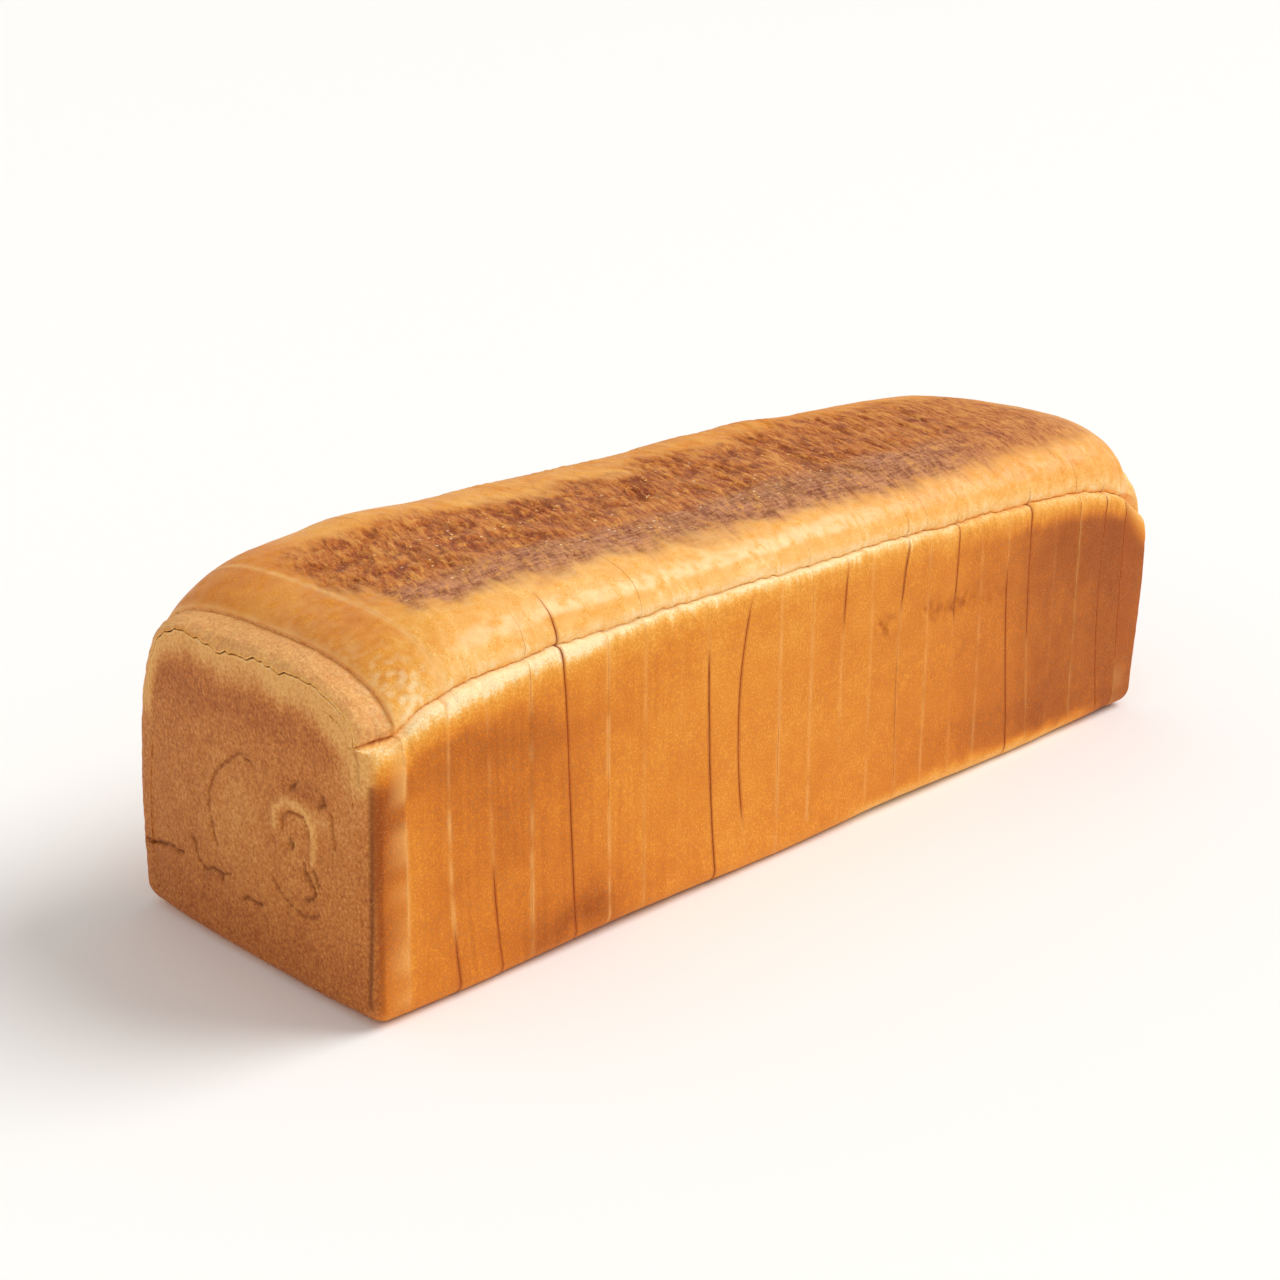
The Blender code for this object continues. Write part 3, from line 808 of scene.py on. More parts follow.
def make_mesh(name, points, faces, kinds, masks):
    """A mesh from points in millimetres, with a material index per face and named masks per point."""
    data = bpy.data.meshes.new(name)
    data.vertices.add(len(points))
    data.vertices.foreach_set("co", (points * MM).astype(np.float32).ravel())
    sizes = np.array([len(face) for face in faces], dtype=np.int32)
    data.loops.add(int(sizes.sum()))
    data.loops.foreach_set("vertex_index", np.concatenate(faces).astype(np.int32))
    data.polygons.add(len(faces))
    starts = np.concatenate([[0], np.cumsum(sizes)[:-1]]).astype(np.int32)
    data.polygons.foreach_set("loop_start", starts)
    data.polygons.foreach_set("material_index", np.array(kinds, dtype=np.int32))
    data.update(calc_edges=True)
    data.validate()
    for mask, values in masks.items():
        layer = data.attributes.new(mask, "FLOAT", "POINT")
        layer.data.foreach_set("value", values.astype(np.float32))
    data.shade_smooth()
    data.set_sharp_from_angle(angle=math.radians(50))
    return data


def ring_faces(first, second):
    """Quads between two closed rings of point numbers."""
    a, b = np.array(first), np.array(second)
    return np.stack([a, np.roll(a, -1), np.roll(b, -1), b], 1)


LEDGE_REACH = 9.0
CUT_REACH = 10.0
RIND_SHARES = (0.962, 0.930)
FACE_MIDDLE = 45.0
CRUMB = 1


def tube_quads(rows, count):
    """Quads between rings of count points each, numbered one ring after the other."""
    rings = np.arange(rows * count).reshape(rows, count)
    return np.concatenate([ring_faces(a, b) for a, b in itertools.pairwise(rings)])


def add_cut_face(shape, ring, faces_near):
    """Closes a body with a flat cut face, a thin rind and then crumb. Returns it and the rings of the face.

    ring is the point numbers of its edge, and faces_near says that it looks towards the near end.
    """
    points, faces, kinds, masks = shape
    edge = points[ring]
    by_height = np.argsort(edge[:, 2])
    middle_x = np.interp(FACE_MIDDLE, edge[by_height, 2], edge[by_height, 0])
    middle = np.array([middle_x, 0.0, FACE_MIDDLE])
    count = len(points)
    rings, fresh = [ring], []
    for share in RIND_SHARES:
        inner = edge.copy()
        inner[:, 1:] = middle[1:] + (edge[:, 1:] - middle[1:]) * share
        fresh.append(inner)
        rings.append(np.arange(count, count + len(edge)))
        count += len(edge)
    fan = np.stack([rings[-1], np.roll(rings[-1], -1), np.full(len(edge), count)], 1)
    turned = -1 if faces_near else 1
    for group in (*map(ring_faces, rings, rings[1:]), fan):
        faces += list(group[:, ::turned])
        kinds += [CRUMB] * len(group)
    masks = {
        name: np.concatenate([values, *[values[ring]] * len(RIND_SHARES), [values[ring].mean()]])
        for name, values in masks.items()
    }
    return (np.vstack([points, *fresh, middle[None]]), faces, kinds, masks), rings


def slice_stations(number):
    """Stations across a slice, close together at both worn edges."""
    low = FIRST_CUT + (number - 1) * SLICE_PITCH
    high = low + SLICE_PITCH
    radii = edge_radius(number), edge_radius(number + 1)
    steps = np.array([0.0, *EDGE_SHARES[:-1]])
    inner = np.linspace(low + radii[0], high - radii[1], 2 + round(SLICE_PITCH / STATION_STEP))
    return np.concatenate([low + radii[0] * steps, inner, high - radii[1] * steps[::-1]]), low, radii


def rounding(distance, radius):
    """How far a rounded cut edge falls back, at a distance from the cut."""
    share = np.clip(1 - distance / radius, 0, 1)
    return radius * (1 - np.sqrt(1 - share**2))


def loaf_grid(plan, stations):
    """Rings of the loaf at the stations, shape (stations, points, 3), before any lean."""
    y_left, z_left = half_outlines(plan, stations, 1)
    y_right, z_right = half_outlines(plan, stations, -1)
    y, z = closed_rings(y_left, z_left, y_right, z_right)
    x = np.repeat(stations[:, None], y.shape[1], 1)
    return tilted(np.stack([x, y, z], -1))


def grid_normals(plan, stations, grid):
    """Outward directions on rings of the loaf."""
    ahead = loaf_grid(plan, stations + 0.3)
    behind = loaf_grid(plan, stations - 0.3)
    along = ahead - behind
    around = np.roll(grid, -1, 1) - np.roll(grid, 1, 1)
    normal = np.cross(around, along)
    return normal / np.maximum(np.linalg.norm(normal, axis=2), 1e-9)[..., None]


def ring_seam_reach(plan, grid):
    """Signed distance of each point from the seam on its side, positive on the crown."""
    wall = plan.count
    total = grid.shape[1]
    half = wall + CROWN_STEPS + 1
    index = np.arange(total)
    left = index < half
    groove_left = grid[:, wall - 1 : wall]
    groove_right = grid[:, total - (wall - 1) : total - (wall - 1) + 1]
    groove = np.where(left[None, :, None], groove_left, groove_right)
    reach = np.hypot(grid[..., 1] - groove[..., 1], grid[..., 2] - groove[..., 2])
    above = (index >= wall) & (index <= total - wall)
    return np.where(above[None], reach, -reach)


def stand(points):
    """Keeps the base from going below the table."""
    points[:, 2] = np.maximum(points[:, 2], 0.0)
    return points


# How strongly a golden highlight is painted on the crown's edge at the first cuts, where its rounded lip
# catches the light
LIP_HIGHLIGHTS = {1: 0.9, 2: 0.9}


def add_cut_edges(masks, c, cuts):
    """Marks the edges of cuts: a pale line where one is closed, a deep orange line of painted shade where it
    stands open.
    """
    pale, dark = np.zeros(len(c.x)), np.zeros(len(c.x))
    fray = smooth(0.55 + 0.8 * noise(150, c.points, 3.0, 3.0, 8.0))
    for number, distance in cuts:
        opened = openness(number, c.z)
        edge = np.exp(-((distance / 0.6) ** 2))
        place = 1 - 0.6 * c.crown * (number > 1)
        pale = np.maximum(pale, CUTS.get(number, PLAIN_CUT).pale * edge * (1 - opened) * fray * place)
        # painted highlight: the rounded lip of the crown's edge at the first cuts, golden where it catches
        # the light
        golden = LIP_HIGHLIGHTS.get(number, 0.0) * c.crown * smooth(c.v / 2)
        pale = np.maximum(pale, golden * np.exp(-((distance / 0.8) ** 2)) * (0.6 + 0.4 * fray))
        # painted shade: the dark line along an open cut stands for the shadow inside its gap
        dark = np.maximum(dark, np.exp(-((distance / 0.32) ** 2)) * opened * (1 - c.crown * (number == 1)))
    masks["rim"] = np.clip(pale, 0, 1)
    masks["crack"] = np.clip(np.maximum(masks["crack"], dark), 0, 1)


def slice_mesh(number, shift, sizes):
    """Points, faces, kinds of face and masks of a slice."""
    plan = WallPlan(SLICE_BASE_STEPS)
    stations, low, radii = slice_stations(number)
    grid = loaf_grid(plan, stations)
    normals = grid_normals(plan, stations, grid).reshape(-1, 3)
    rows, count, _ = grid.shape
    flat = grid.reshape(-1, 3)
    crust = Crust(flat, ring_seam_reach(plan, grid).ravel(), np.zeros(len(flat)))
    marks = end_marks(crust)
    height, deep, folds = relief(crust, marks, sizes)
    masks = browning(crust, marks, deep, folds)
    from_low = np.repeat(stations - low, count)
    from_high = np.repeat(low + SLICE_PITCH - stations, count)
    fall = rounding(from_low, radii[0]) * (openness(number, crust.z) if number > 1 else crust.crown)
    fall = fall + rounding(from_high, radii[1]) * openness(number + 1, crust.z)
    height = height * sizes.relief + 0.10 * noise(200 + number, flat, 24.0) - fall
    if number == 1:
        proud = crust.crown * smooth(crust.v / 3) * smooth(1 - from_low / LEDGE_REACH)
        height = height + sizes.ledge / MM * proud
    points = flat + normals * height[:, None]
    share, z = from_low / SLICE_PITCH, points[:, 2]
    for cut, part, side in ((number, 1 - share, 1), (number + 1, share, -1)):
        points[:, 0] += part * (cut_bow(cut, z) + side * cut_gap(cut, z, sizes.closed_gap / MM) / 2)
    points[:, 0] += cut_lean(flat[:, 0]) * (LEAN_PIVOT - z)
    points = stand(points)
    points[:, 1] += sizes.slice_shift * shift
    add_cut_edges(masks, crust, [(number, from_low), (number + 1, from_high)])
    faces = list(tube_quads(rows, count))
    shape = points, faces, [0] * len(faces), masks
    shape, near_rings = add_cut_face(shape, np.arange(count), True)
    shape, far_rings = add_cut_face(shape, np.arange(count) + (rows - 1) * count, False)
    shape[-1]["rind"] = rind_mask(len(shape[0]), near_rings + far_rings)
    return shape


def rind_mask(count, rings):
    """1 on the edge of each cut face, 0 on its crumb."""
    rind = np.zeros(count)
    step = len(RIND_SHARES) + 1
    for place, ring in enumerate(rings):
        rind[ring] = 1 - (place % step) / (step - 1)
    return rind


class End:
    """One end of the loaf: the rings of its heel from the cut to the crack, and the face inside them.

    edge_radius rounds the low upright edges, and shoulder_radii what it grows to at the top, on each side.
    """

    def __init__(self, x_cut, x_end, edge_radius, shoulder_radii, taper):
        self.x_cut = x_cut
        self.x_end = x_end
        self.outwards = math.copysign(1.0, x_end)
        self.edge_radius = edge_radius
        self.shoulder_radii = shoulder_radii
        self.taper = taper
        base_steps = CROWN_STEPS - CORNER_STEPS // 2
        self.plan = WallPlan(base_steps)

    def face_x(self, y, z):
        """Where the end face lies along the loaf: bulging in the middle, drawn in at the foot."""
        bulge = END_BULGE * (1 - (y / RIM_HALF_WIDTH) ** 2)
        taper = self.taper * (1 - smooth(z / TAPER_HEIGHT))
        return self.x_end - self.outwards * (END_BULGE - bulge + taper)

    def wall_ring(self, side, turn, inset=0.0):
        """Wall and base points carried round the edge of the end face by an angle."""
        _, z, _, upwards = self.plan.points(np.array([self.x_cut]), side)
        share = (z / RIM_HEIGHT) ** SHOULDER_POWER
        upright = self.edge_radius + (self.shoulder_radii[side] - self.edge_radius) * share
        radius = upright + (END_BASE_RADIUS - upright) * upwards
        back = radius * (1 - math.sin(turn))
        x = self.face_x(0, z) - self.outwards * back
        y, z, in_y, in_z = self.plan.points(x, side)
        into = radius * (1 - math.cos(turn)) + inset
        y, z = y + in_y * into, z + in_z * into
        return self.face_x(y, z) - self.outwards * back, np.maximum(y, 0.0), z

    def crack(self, side):
        """The torn line on the end face under the crown."""
        _, y, z = self.wall_ring(side, EDGE_TURN)
        foot = z[-1] + 0.3
        curve_y, curve_z = crown_curve(
            y[-1] + SEAM_DEPTH / 2, foot, foot + LEAST_EQUATOR_HEIGHT, END_CRACK_HEIGHT, END_CRACK_SQUARENESS
        )
        place = np.stack([np.zeros_like(curve_y), side * curve_y, curve_z + self.outwards * 30], 1)
        level = smooth((curve_z - foot) / 12)
        jag = 1.3 * noise(21, place, 10.0) + 0.9 * noise(22, place, 4.0) + 0.5 * noise(23, place, 2.0)
        curve_z = curve_z + jag * level
        return self.face_x(curve_y, curve_z), curve_y, curve_z

    def outer_ring(self, step):
        """One of the rings from the cut, over the bevel of the crown, to the lip of the crack."""
        halves = []
        for side in (1, -1):
            if step == 0:
                wall_y, wall_z, _, _ = self.plan.points(np.array([self.x_cut]), side)
                wall_x = np.full_like(wall_y, self.x_cut)
            else:
                wall_x, wall_y, wall_z = self.wall_ring(side, EDGE_TURN * (step - 1) / (HEEL_RINGS - 1))
            turn = math.pi / 2 * step / HEEL_RINGS
            out = math.cos(turn) ** (2 / BEVEL_SQUARENESS) if step < HEEL_RINGS else 0.0
            along = math.sin(turn) ** (2 / BEVEL_SQUARENESS)
            end_x, end_y, end_z = self.crack(side)
            crown_y, crown_z = crown_section(self.x_cut, side)
            x = np.append(wall_x, self.x_cut + (end_x - self.x_cut) * along)
            y = np.append(wall_y, end_y + (crown_y - end_y) * out)
            z = np.append(wall_z, end_z + (crown_z - end_z) * out)
            halves.append((x, y, z))
        return self.ring(halves)

    def crack_ring(self, drop, depth, turn, inset):
        """A ring below the crack's lip: lower and deeper on the crown, further in on the walls."""
        halves = []
        for side in (1, -1):
            wall_x, wall_y, wall_z = self.wall_ring(side, turn, inset)
            x, y, z = self.crack(side)
            lean = np.pi / 2 * np.minimum(np.arange(len(x)) / (len(x) / 2), 1.0)
            # the overhang dies out inwards, so that the face inside isn't folded
            y = np.minimum(y, y[0] + CROWN_OVERHANG * max(0.0, 1 - inset / 1.5))
            y = y - np.minimum(inset * np.cos(lean), y)
            z = z - drop * np.sin(lean)
            halves.append(
                (np.append(wall_x, x - self.outwards * depth), np.append(wall_y, y), np.append(wall_z, z))
            )
        return self.ring(halves)

    def ring(self, halves):
        """A closed ring from its halves, in the order of closed_rings."""
        left, right = (np.stack(half, 1) for half in halves)
        return np.vstack([left, right[-2:0:-1] * (1, -1, 1)])

    def face_grid(self, ring):
        """Points of the end face inside its outer ring, as rows from the base up."""
        count = len(ring)
        steps = CROWN_STEPS
        bottom_index = np.concatenate([np.arange(steps, -1, -1), count - np.arange(1, steps + 1)])
        top_start = count // 2 - steps
        top_index = np.arange(top_start, top_start + 2 * steps + 1)
        left_index = np.arange(steps, top_start + 1)
        right_index = (count - left_index) % count
        bottom, top = ring[bottom_index], ring[top_index]
        left, right = ring[left_index], ring[right_index]
        u = np.linspace(0, 1, len(bottom_index))[None, :, None]
        v = np.linspace(0, 1, len(left_index))[:, None, None]
        grid = (1 - v) * bottom[None] + v * top[None] + (1 - u) * left[:, None] + u * right[:, None]
        grid = grid - (1 - u) * (1 - v) * bottom[0] - u * (1 - v) * bottom[-1]
        grid = grid - (1 - u) * v * top[0] - u * v * top[-1]
        grid[..., 0] = self.face_x(grid[..., 1], grid[..., 2])
        index = np.full(grid.shape[:2], -1)
        index[0], index[-1] = bottom_index, top_index
        index[:, 0], index[:, -1] = left_index, right_index
        return grid, index


def vertex_normals(points, quads):
    """Outward directions of the points, each face counting by its size."""
    a, b, c, d = (points[quads[:, i]] for i in range(4))
    flat = np.cross(c - a, d - b)
    normals = np.zeros_like(points)
    for i in range(4):
        np.add.at(normals, quads[:, i], flat)
    return normals / np.maximum(np.linalg.norm(normals, axis=1), 1e-9)[:, None]


def heel_rings(end, radius):
    """Rings of a heel from its cut to the flat of its end face, and how many lie outside the crack."""
    first, second = end.outer_ring(0), end.outer_ring(1)
    spacing = max(abs(second[0, 0] - first[0, 0]), 1e-6)
    rings = [first]
    rings += [first + (second - first) * min(radius * share / spacing, 0.9) for share in EDGE_SHARES]
    rings += [second, *(end.outer_ring(step) for step in range(2, HEEL_RINGS + 1))]
    return rings + [end.crack_ring(*values) for values in CRACK_RINGS], len(rings)


def heel_faces(end, rings):
    """Points and quads of a heel without its cut face, and how many points lie inside the last ring."""
    count, rows = len(rings[0]), len(rings)
    grid, index = end.face_grid(rings[-1])
    fresh = index < 0
    inside = int(fresh.sum())
    index = index + (rows - 1) * count
    index[fresh] = rows * count + np.arange(inside)
    side = tube_quads(rows, count)
    face = np.stack([index[:-1, :-1], index[:-1, 1:], index[1:, 1:], index[1:, :-1]], -1).reshape(-1, 4)
    if end.outwards < 0:
        side = side[:, ::-1]
    else:
        face = face[:, ::-1]
    return np.vstack([*rings, grid[fresh]]), np.concatenate([side, face]), inside


def distance_to(points, others):
    """Distance of each point from the nearest of the others, worked out a batch at a time."""
    nearest = np.full(len(points), np.inf)
    for start in range(0, len(others), 64):
        steps = points[:, None] - others[None, start : start + 64]
        nearest = np.minimum(nearest, np.linalg.norm(steps, axis=2).min(1))
    return nearest


def heel_crust(end, rings, outer, points, normals, inside):
    """The crust of a heel, with which of its points are on the crown and which are in the crack."""
    count, wall = len(rings[0]), end.plan.count
    over = slice(wall, count - wall + 1)
    rows = np.zeros((2, len(rings), count), bool)
    rows[0, :outer, over] = True
    rows[1, outer : outer + TORN_RINGS, over] = True
    above, in_crack = (np.append(chosen.ravel(), np.zeros(inside, bool)) for chosen in rows)
    crack_row = (outer - 1) * count + np.arange(over.start, over.stop)
    grooves = [row * count + place for place in (wall - 1, count - wall + 1) for row in range(outer)]
    reach = distance_to(points, points[np.concatenate([crack_row, grooves])])
    reach = np.where(above, reach, -reach)
    end_face = np.where(in_crack, 1.0, smooth(np.abs(normals[:, 0]) * 1.6 - 0.5) * ~above)
    # on the end face the distance from the crack is taken straight down
    line = points[crack_row]
    order = np.argsort(line[:, 1])
    under = points[:, 2] - np.interp(points[:, 1], line[order, 1], line[order, 2])
    reach = np.where(above, reach, reach + (np.minimum(under, 0) - reach) * end_face)
    return Crust(points, reach, end_face), above, in_crack


def heel_mesh(end, cut_number, sizes):
    """Points, faces, kinds of face and masks of a heel."""
    radius = edge_radius(cut_number)
    rings, outer = heel_rings(end, radius)
    flat, quads, inside = heel_faces(end, rings)
    flat = tilted(flat)
    normals = vertex_normals(flat, quads)
    crust, above, in_crack = heel_crust(end, rings, outer, flat, normals, inside)
    marks = end_marks(crust)
    height, deep, folds = relief(crust, marks, sizes)
    masks = browning(crust, marks, deep, folds)
    # painted shade inside the torn crack under the crown
    masks["crack"] = np.where(in_crack, 0.8, masks["crack"])
    by_cut = np.arange(len(flat)) < (2 + len(EDGE_SHARES)) * len(rings[0])
    along = np.abs(crust.x - end.x_cut)
    fall = rounding(np.where(by_cut, along, np.inf), radius) * openness(cut_number, crust.z)
    if cut_number == 1:
        # the strip above the crack lies lower than the first slice, and only the slice's edge is worn
        low = smooth(1 - along / CUT_REACH) * above * smooth((crust.v - 1) / 6)
        fall = fall * (1 - above) + sizes.ledge / MM * low
    points = flat + normals * (height * sizes.relief - fall)[:, None]
    z = points[:, 2]
    points[:, 0] += cut_bow(cut_number, z) * smooth(1 - along / CUT_REACH)
    points[:, 0] += end.outwards * cut_gap(cut_number, z, sizes.closed_gap / MM) / 2 * by_cut
    points[:, 0] += cut_lean(crust.x) * (LEAN_PIVOT - z)
    points = stand(points)
    add_cut_edges(masks, crust, [(cut_number, along)])
    shape = points, list(quads), [0] * len(quads), masks
    shape, cut_rings = add_cut_face(shape, np.arange(len(rings[0])), end.outwards > 0)
    shape[-1]["rind"] = rind_mask(len(shape[0]), cut_rings)
    return shape


# Materials


# Settings that nodes share
ADD = {"operation": "ADD"}
SUBTRACT = {"operation": "SUBTRACT"}
MULTIPLY = {"operation": "MULTIPLY"}
MULTIPLY_ADD = {"operation": "MULTIPLY_ADD"}
ABSOLUTE = {"operation": "ABSOLUTE"}
ABOVE = {"operation": "GREATER_THAN"}
TEXTURE_SPACE = {"vector_type": "TEXTURE"}
COLOURS = {"data_type": "RGBA"}
# Nearly all of a noise lies between these two values
NOISE_RANGE = {"i1": 0.3, "i2": 0.7}

# Sizes of the crust's patterns, in millimetres
GRAIN = 0.6
PIT = 1.0
MOTTLE = 5.0
FIBRE_WIDTH = 1.2
FIBRE_STRETCH = 5.5
FIBRE_SLANT = -0.38
RIPPLE_WIDTH = 1.1
RIPPLE_STRETCH = 4.6
CREASE_SPACING = 3.0
THREAD_SPACING = 2.3
FLECK_SPACING = 2.4
FLECK_SHARE = 0.26
BUMP_DEPTH = 0.4
AIR_CELL = 2.2
CELL_WALL = 0.8
CRUMB_DEPTH = 0.8


def add_node(tree, kind, settings=None, **links):
    """Adds a shader node and returns it.

    Settings are its properties. Each link names an input, or its number after an i, and gives its value, the
    socket it comes from, or a node whose first output in use it comes from.
    """
    node = tree.nodes.new(kind)
    for name, value in (settings or {}).items():
        setattr(node, name, value)
    for name, value in links.items():
        socket = node.inputs[int(name[1:]) if name[1:].isdigit() else name.replace("_", " ")]
        if isinstance(value, bpy.types.Node):
            value = next(output for output in value.outputs if output.enabled)
        if isinstance(value, bpy.types.NodeSocket):
            tree.links.new(value, socket)
        else:
            socket.default_value = value
    return node


def new_material(name):
    """An empty material, and add_node for its tree."""
    material = bpy.data.materials.new(name)
    material.use_nodes = True
    material.node_tree.nodes.clear()
    return material, functools.partial(add_node, material.node_tree)


def opaque(colour):
    """A colour with its alpha, as nodes want it."""
    return (*colour, 1.0)


def set_ramp(node, *stops):
    """Gives a colour ramp its stops of (place, linear colour)."""
    elements = node.color_ramp.elements
    while len(elements) > 1:
        elements.remove(elements[-1])
    elements[0].position = stops[0][0]
    elements[0].color = opaque(stops[0][1])
    for place, colour in stops[1:]:
        elements.new(place).color = opaque(colour)


def baked_crust(colours):
    """Baked wheat crust: sugars browned from cream to brown.

    It is dry and finely grained on the walls that touched the tin, and the crown has the soft sheen of a
    stretched skin.
    """
    material, add = new_material("baked_crust")
    place = add("ShaderNodeTexCoord").outputs["Object"]
    masks = {}
    for name in ("bake", "roast", "tone", "lilac", "crack", "pale", "gloss", "speck", "rim", "dull"):
        masks[name] = add("ShaderNodeAttribute", {"attribute_name": name}).outputs["Fac"]

    # the dough skin's fine grain, the pits of the end faces and the uneven heat of the oven
    grain = add("ShaderNodeTexNoise", Vector=place, Scale=1 / (GRAIN * MM), Detail=1.5, Roughness=0.6)
    pits = add("ShaderNodeTexNoise", Vector=place, Scale=1 / (PIT * MM), Detail=2.0, Roughness=0.65)
    mottle = add("ShaderNodeTexNoise", Vector=place, Scale=1 / (MOTTLE * MM), Detail=3.0, Roughness=0.6)
    # wrinkles too fine for the mesh: across the top at a slant, and along its front edge
    slanted = {"Rotation": (0, 0, FIBRE_SLANT), "Scale": (1, FIBRE_STRETCH, 3)}
    laid = add("ShaderNodeMapping", TEXTURE_SPACE, Vector=place, **slanted)
    drawn = add("ShaderNodeMapping", TEXTURE_SPACE, Vector=place, Scale=(RIPPLE_STRETCH, 1, 3))
    fine = {"Detail": 3.0, "Roughness": 0.6}
    fibres = add("ShaderNodeTexNoise", Vector=laid, Scale=1 / (FIBRE_WIDTH * MM), **fine)
    ripples = add("ShaderNodeTexNoise", Vector=drawn, Scale=1 / (RIPPLE_WIDTH * MM), **fine)
    fibres = add("ShaderNodeMix", i0=masks["lilac"], i2=fibres, i3=ripples)

    def lines_along_wrinkles(spacing, core, edge, strength):
        """Thin lines where a noise drawn out along the wrinkles is in its middle."""
        source = add("ShaderNodeTexNoise", Vector=laid, Scale=1 / (spacing * MM), Detail=2.0)
        off = add("ShaderNodeMath", ABSOLUTE, i0=add("ShaderNodeMath", SUBTRACT, i0=source, i1=0.5))
        return add("ShaderNodeMapRange", i0=off, i1=core, i2=edge, i3=strength, i4=0.0)

    # how far each place is browned; the sheen of the crown hides its grain
    quieter = add("ShaderNodeMapRange", i0=masks["gloss"], i3=1.0, i4=0.30)
    grained = add("ShaderNodeMapRange", i0=grain, **NOISE_RANGE, i3=-0.09, i4=0.13)
    browned = add("ShaderNodeMath", MULTIPLY_ADD, i0=grained, i1=quieter, i2=masks["bake"])
    mottled = add("ShaderNodeMapRange", i0=mottle, **NOISE_RANGE, i3=-0.03, i4=0.03)
    browned = add("ShaderNodeMath", ADD, i0=browned, i1=mottled)
    # painted shade and light: the pits of the end faces are darker and the skin between them lighter,
    # following their bump
    pitted = add("ShaderNodeMapRange", i0=pits, **NOISE_RANGE, i3=0.17, i4=-0.17)
    browned = add("ShaderNodeMath", MULTIPLY_ADD, i0=pitted, i1=masks["dull"], i2=browned)
    wall = add("ShaderNodeValToRGB", Fac=browned)
    set_ramp(
        wall,
        (0.0, colours.cream),
        (0.18, colours.pale_gold),
        (0.33, colours.gold),
        (0.47, colours.orange),
        (0.62, colours.brown),
        (0.86, colours.deep_brown),
    )
    end = add("ShaderNodeValToRGB", Fac=browned)
    set_ramp(end, (0.20, colours.end_gold), (0.58, colours.end_brown), (0.85, colours.end_dark))
    colour = add("ShaderNodeMix", COLOURS, i0=masks["dull"], i6=wall, i7=end)

    # the browned band: light raised skin and dark grooves between the wrinkles, painted light and shade on
    # its roasted colours
    fibre_light_and_shade = add("ShaderNodeMapRange", i0=fibres, i1=0.37, i2=0.63, i3=-0.19, i4=0.19)
    tone = add("ShaderNodeMath", ADD, i0=masks["tone"], i1=fibre_light_and_shade)
    patches = add("ShaderNodeMapRange", i0=mottle, **NOISE_RANGE, i3=1.0, i4=0.0)
    crease_shade = lines_along_wrinkles(CREASE_SPACING, 0.02, 0.085, 0.42)
    crease_shade = add("ShaderNodeMath", MULTIPLY, i0=crease_shade, i1=patches)
    tone = add("ShaderNodeMath", SUBTRACT, i0=tone, i1=crease_shade)
    grained = add("ShaderNodeMapRange", i0=grain, **NOISE_RANGE, i3=-0.13, i4=0.13)
    tone = add("ShaderNodeMath", ADD, i0=tone, i1=grained)
    roasted = add("ShaderNodeValToRGB", Fac=tone)
    set_ramp(roasted, (0.12, colours.roast_dark), (0.50, colours.roast), (0.88, colours.roast_light))
    lilac = add("ShaderNodeValToRGB", Fac=tone)
    set_ramp(lilac, (0.20, colours.lilac_dark), (0.78, colours.lilac))
    roasted = add("ShaderNodeMix", COLOURS, i0=masks["lilac"], i6=roasted, i7=lilac)
    # painted highlights: golden threads along the wrinkles, where their edges catch the light
    patches = add("ShaderNodeMapRange", i0=mottle, **NOISE_RANGE, i3=-0.3, i4=1.0)
    thread_highlight = lines_along_wrinkles(THREAD_SPACING, 0.015, 0.060, 0.85)
    thread_highlight = add("ShaderNodeMath", MULTIPLY, i0=thread_highlight, i1=patches)
    thread_highlight = add("ShaderNodeMath", MULTIPLY, i0=thread_highlight, i1=masks["roast"])
    # painted glints: the lightest grains of the dough skin lit pale gold, weaker under the crown's sheen
    painted_glints = add("ShaderNodeMapRange", i0=grain, i1=0.54, i2=0.72, i3=0.0, i4=0.20)
    painted_glints = add("ShaderNodeMath", MULTIPLY, i0=painted_glints, i1=quieter)
    # pale flecks of burst blisters, about 0.5 mm, in one cell of four
    cells = add("ShaderNodeTexVoronoi", Vector=place, Scale=1 / (FLECK_SPACING * MM))
    flecks = add("ShaderNodeMapRange", i0=cells, i1=0.11, i2=0.19, i3=1.0, i4=0.0)
    chance = add("ShaderNodeSeparateColor", Color=cells.outputs["Color"])
    chosen = add("ShaderNodeMath", ABOVE, i0=chance, i1=1 - FLECK_SHARE)
    flecks = add("ShaderNodeMath", MULTIPLY, i0=flecks, i1=chosen)
    specks = add("ShaderNodeMapRange", i0=masks["speck"], i3=0.0, i4=0.85)
    flecks = add("ShaderNodeMath", MULTIPLY, i0=flecks, i1=specks)
    inks = {"i6": opaque(colours.crease), "i7": opaque(colours.end_crease)}
    for share, layer in (
        (masks["roast"], roasted),
        (thread_highlight, opaque(colours.thread_highlight)),
        (masks["crack"], add("ShaderNodeMix", COLOURS, i0=masks["dull"], **inks)),
        (masks["pale"], opaque(colours.cream)),
        (masks["rim"], opaque(colours.rim)),
        (painted_glints, opaque(colours.pale_gold)),
        (flecks, opaque(colours.fleck)),
    ):
        colour = add("ShaderNodeMix", COLOURS, i0=share, i6=colour, i7=layer)

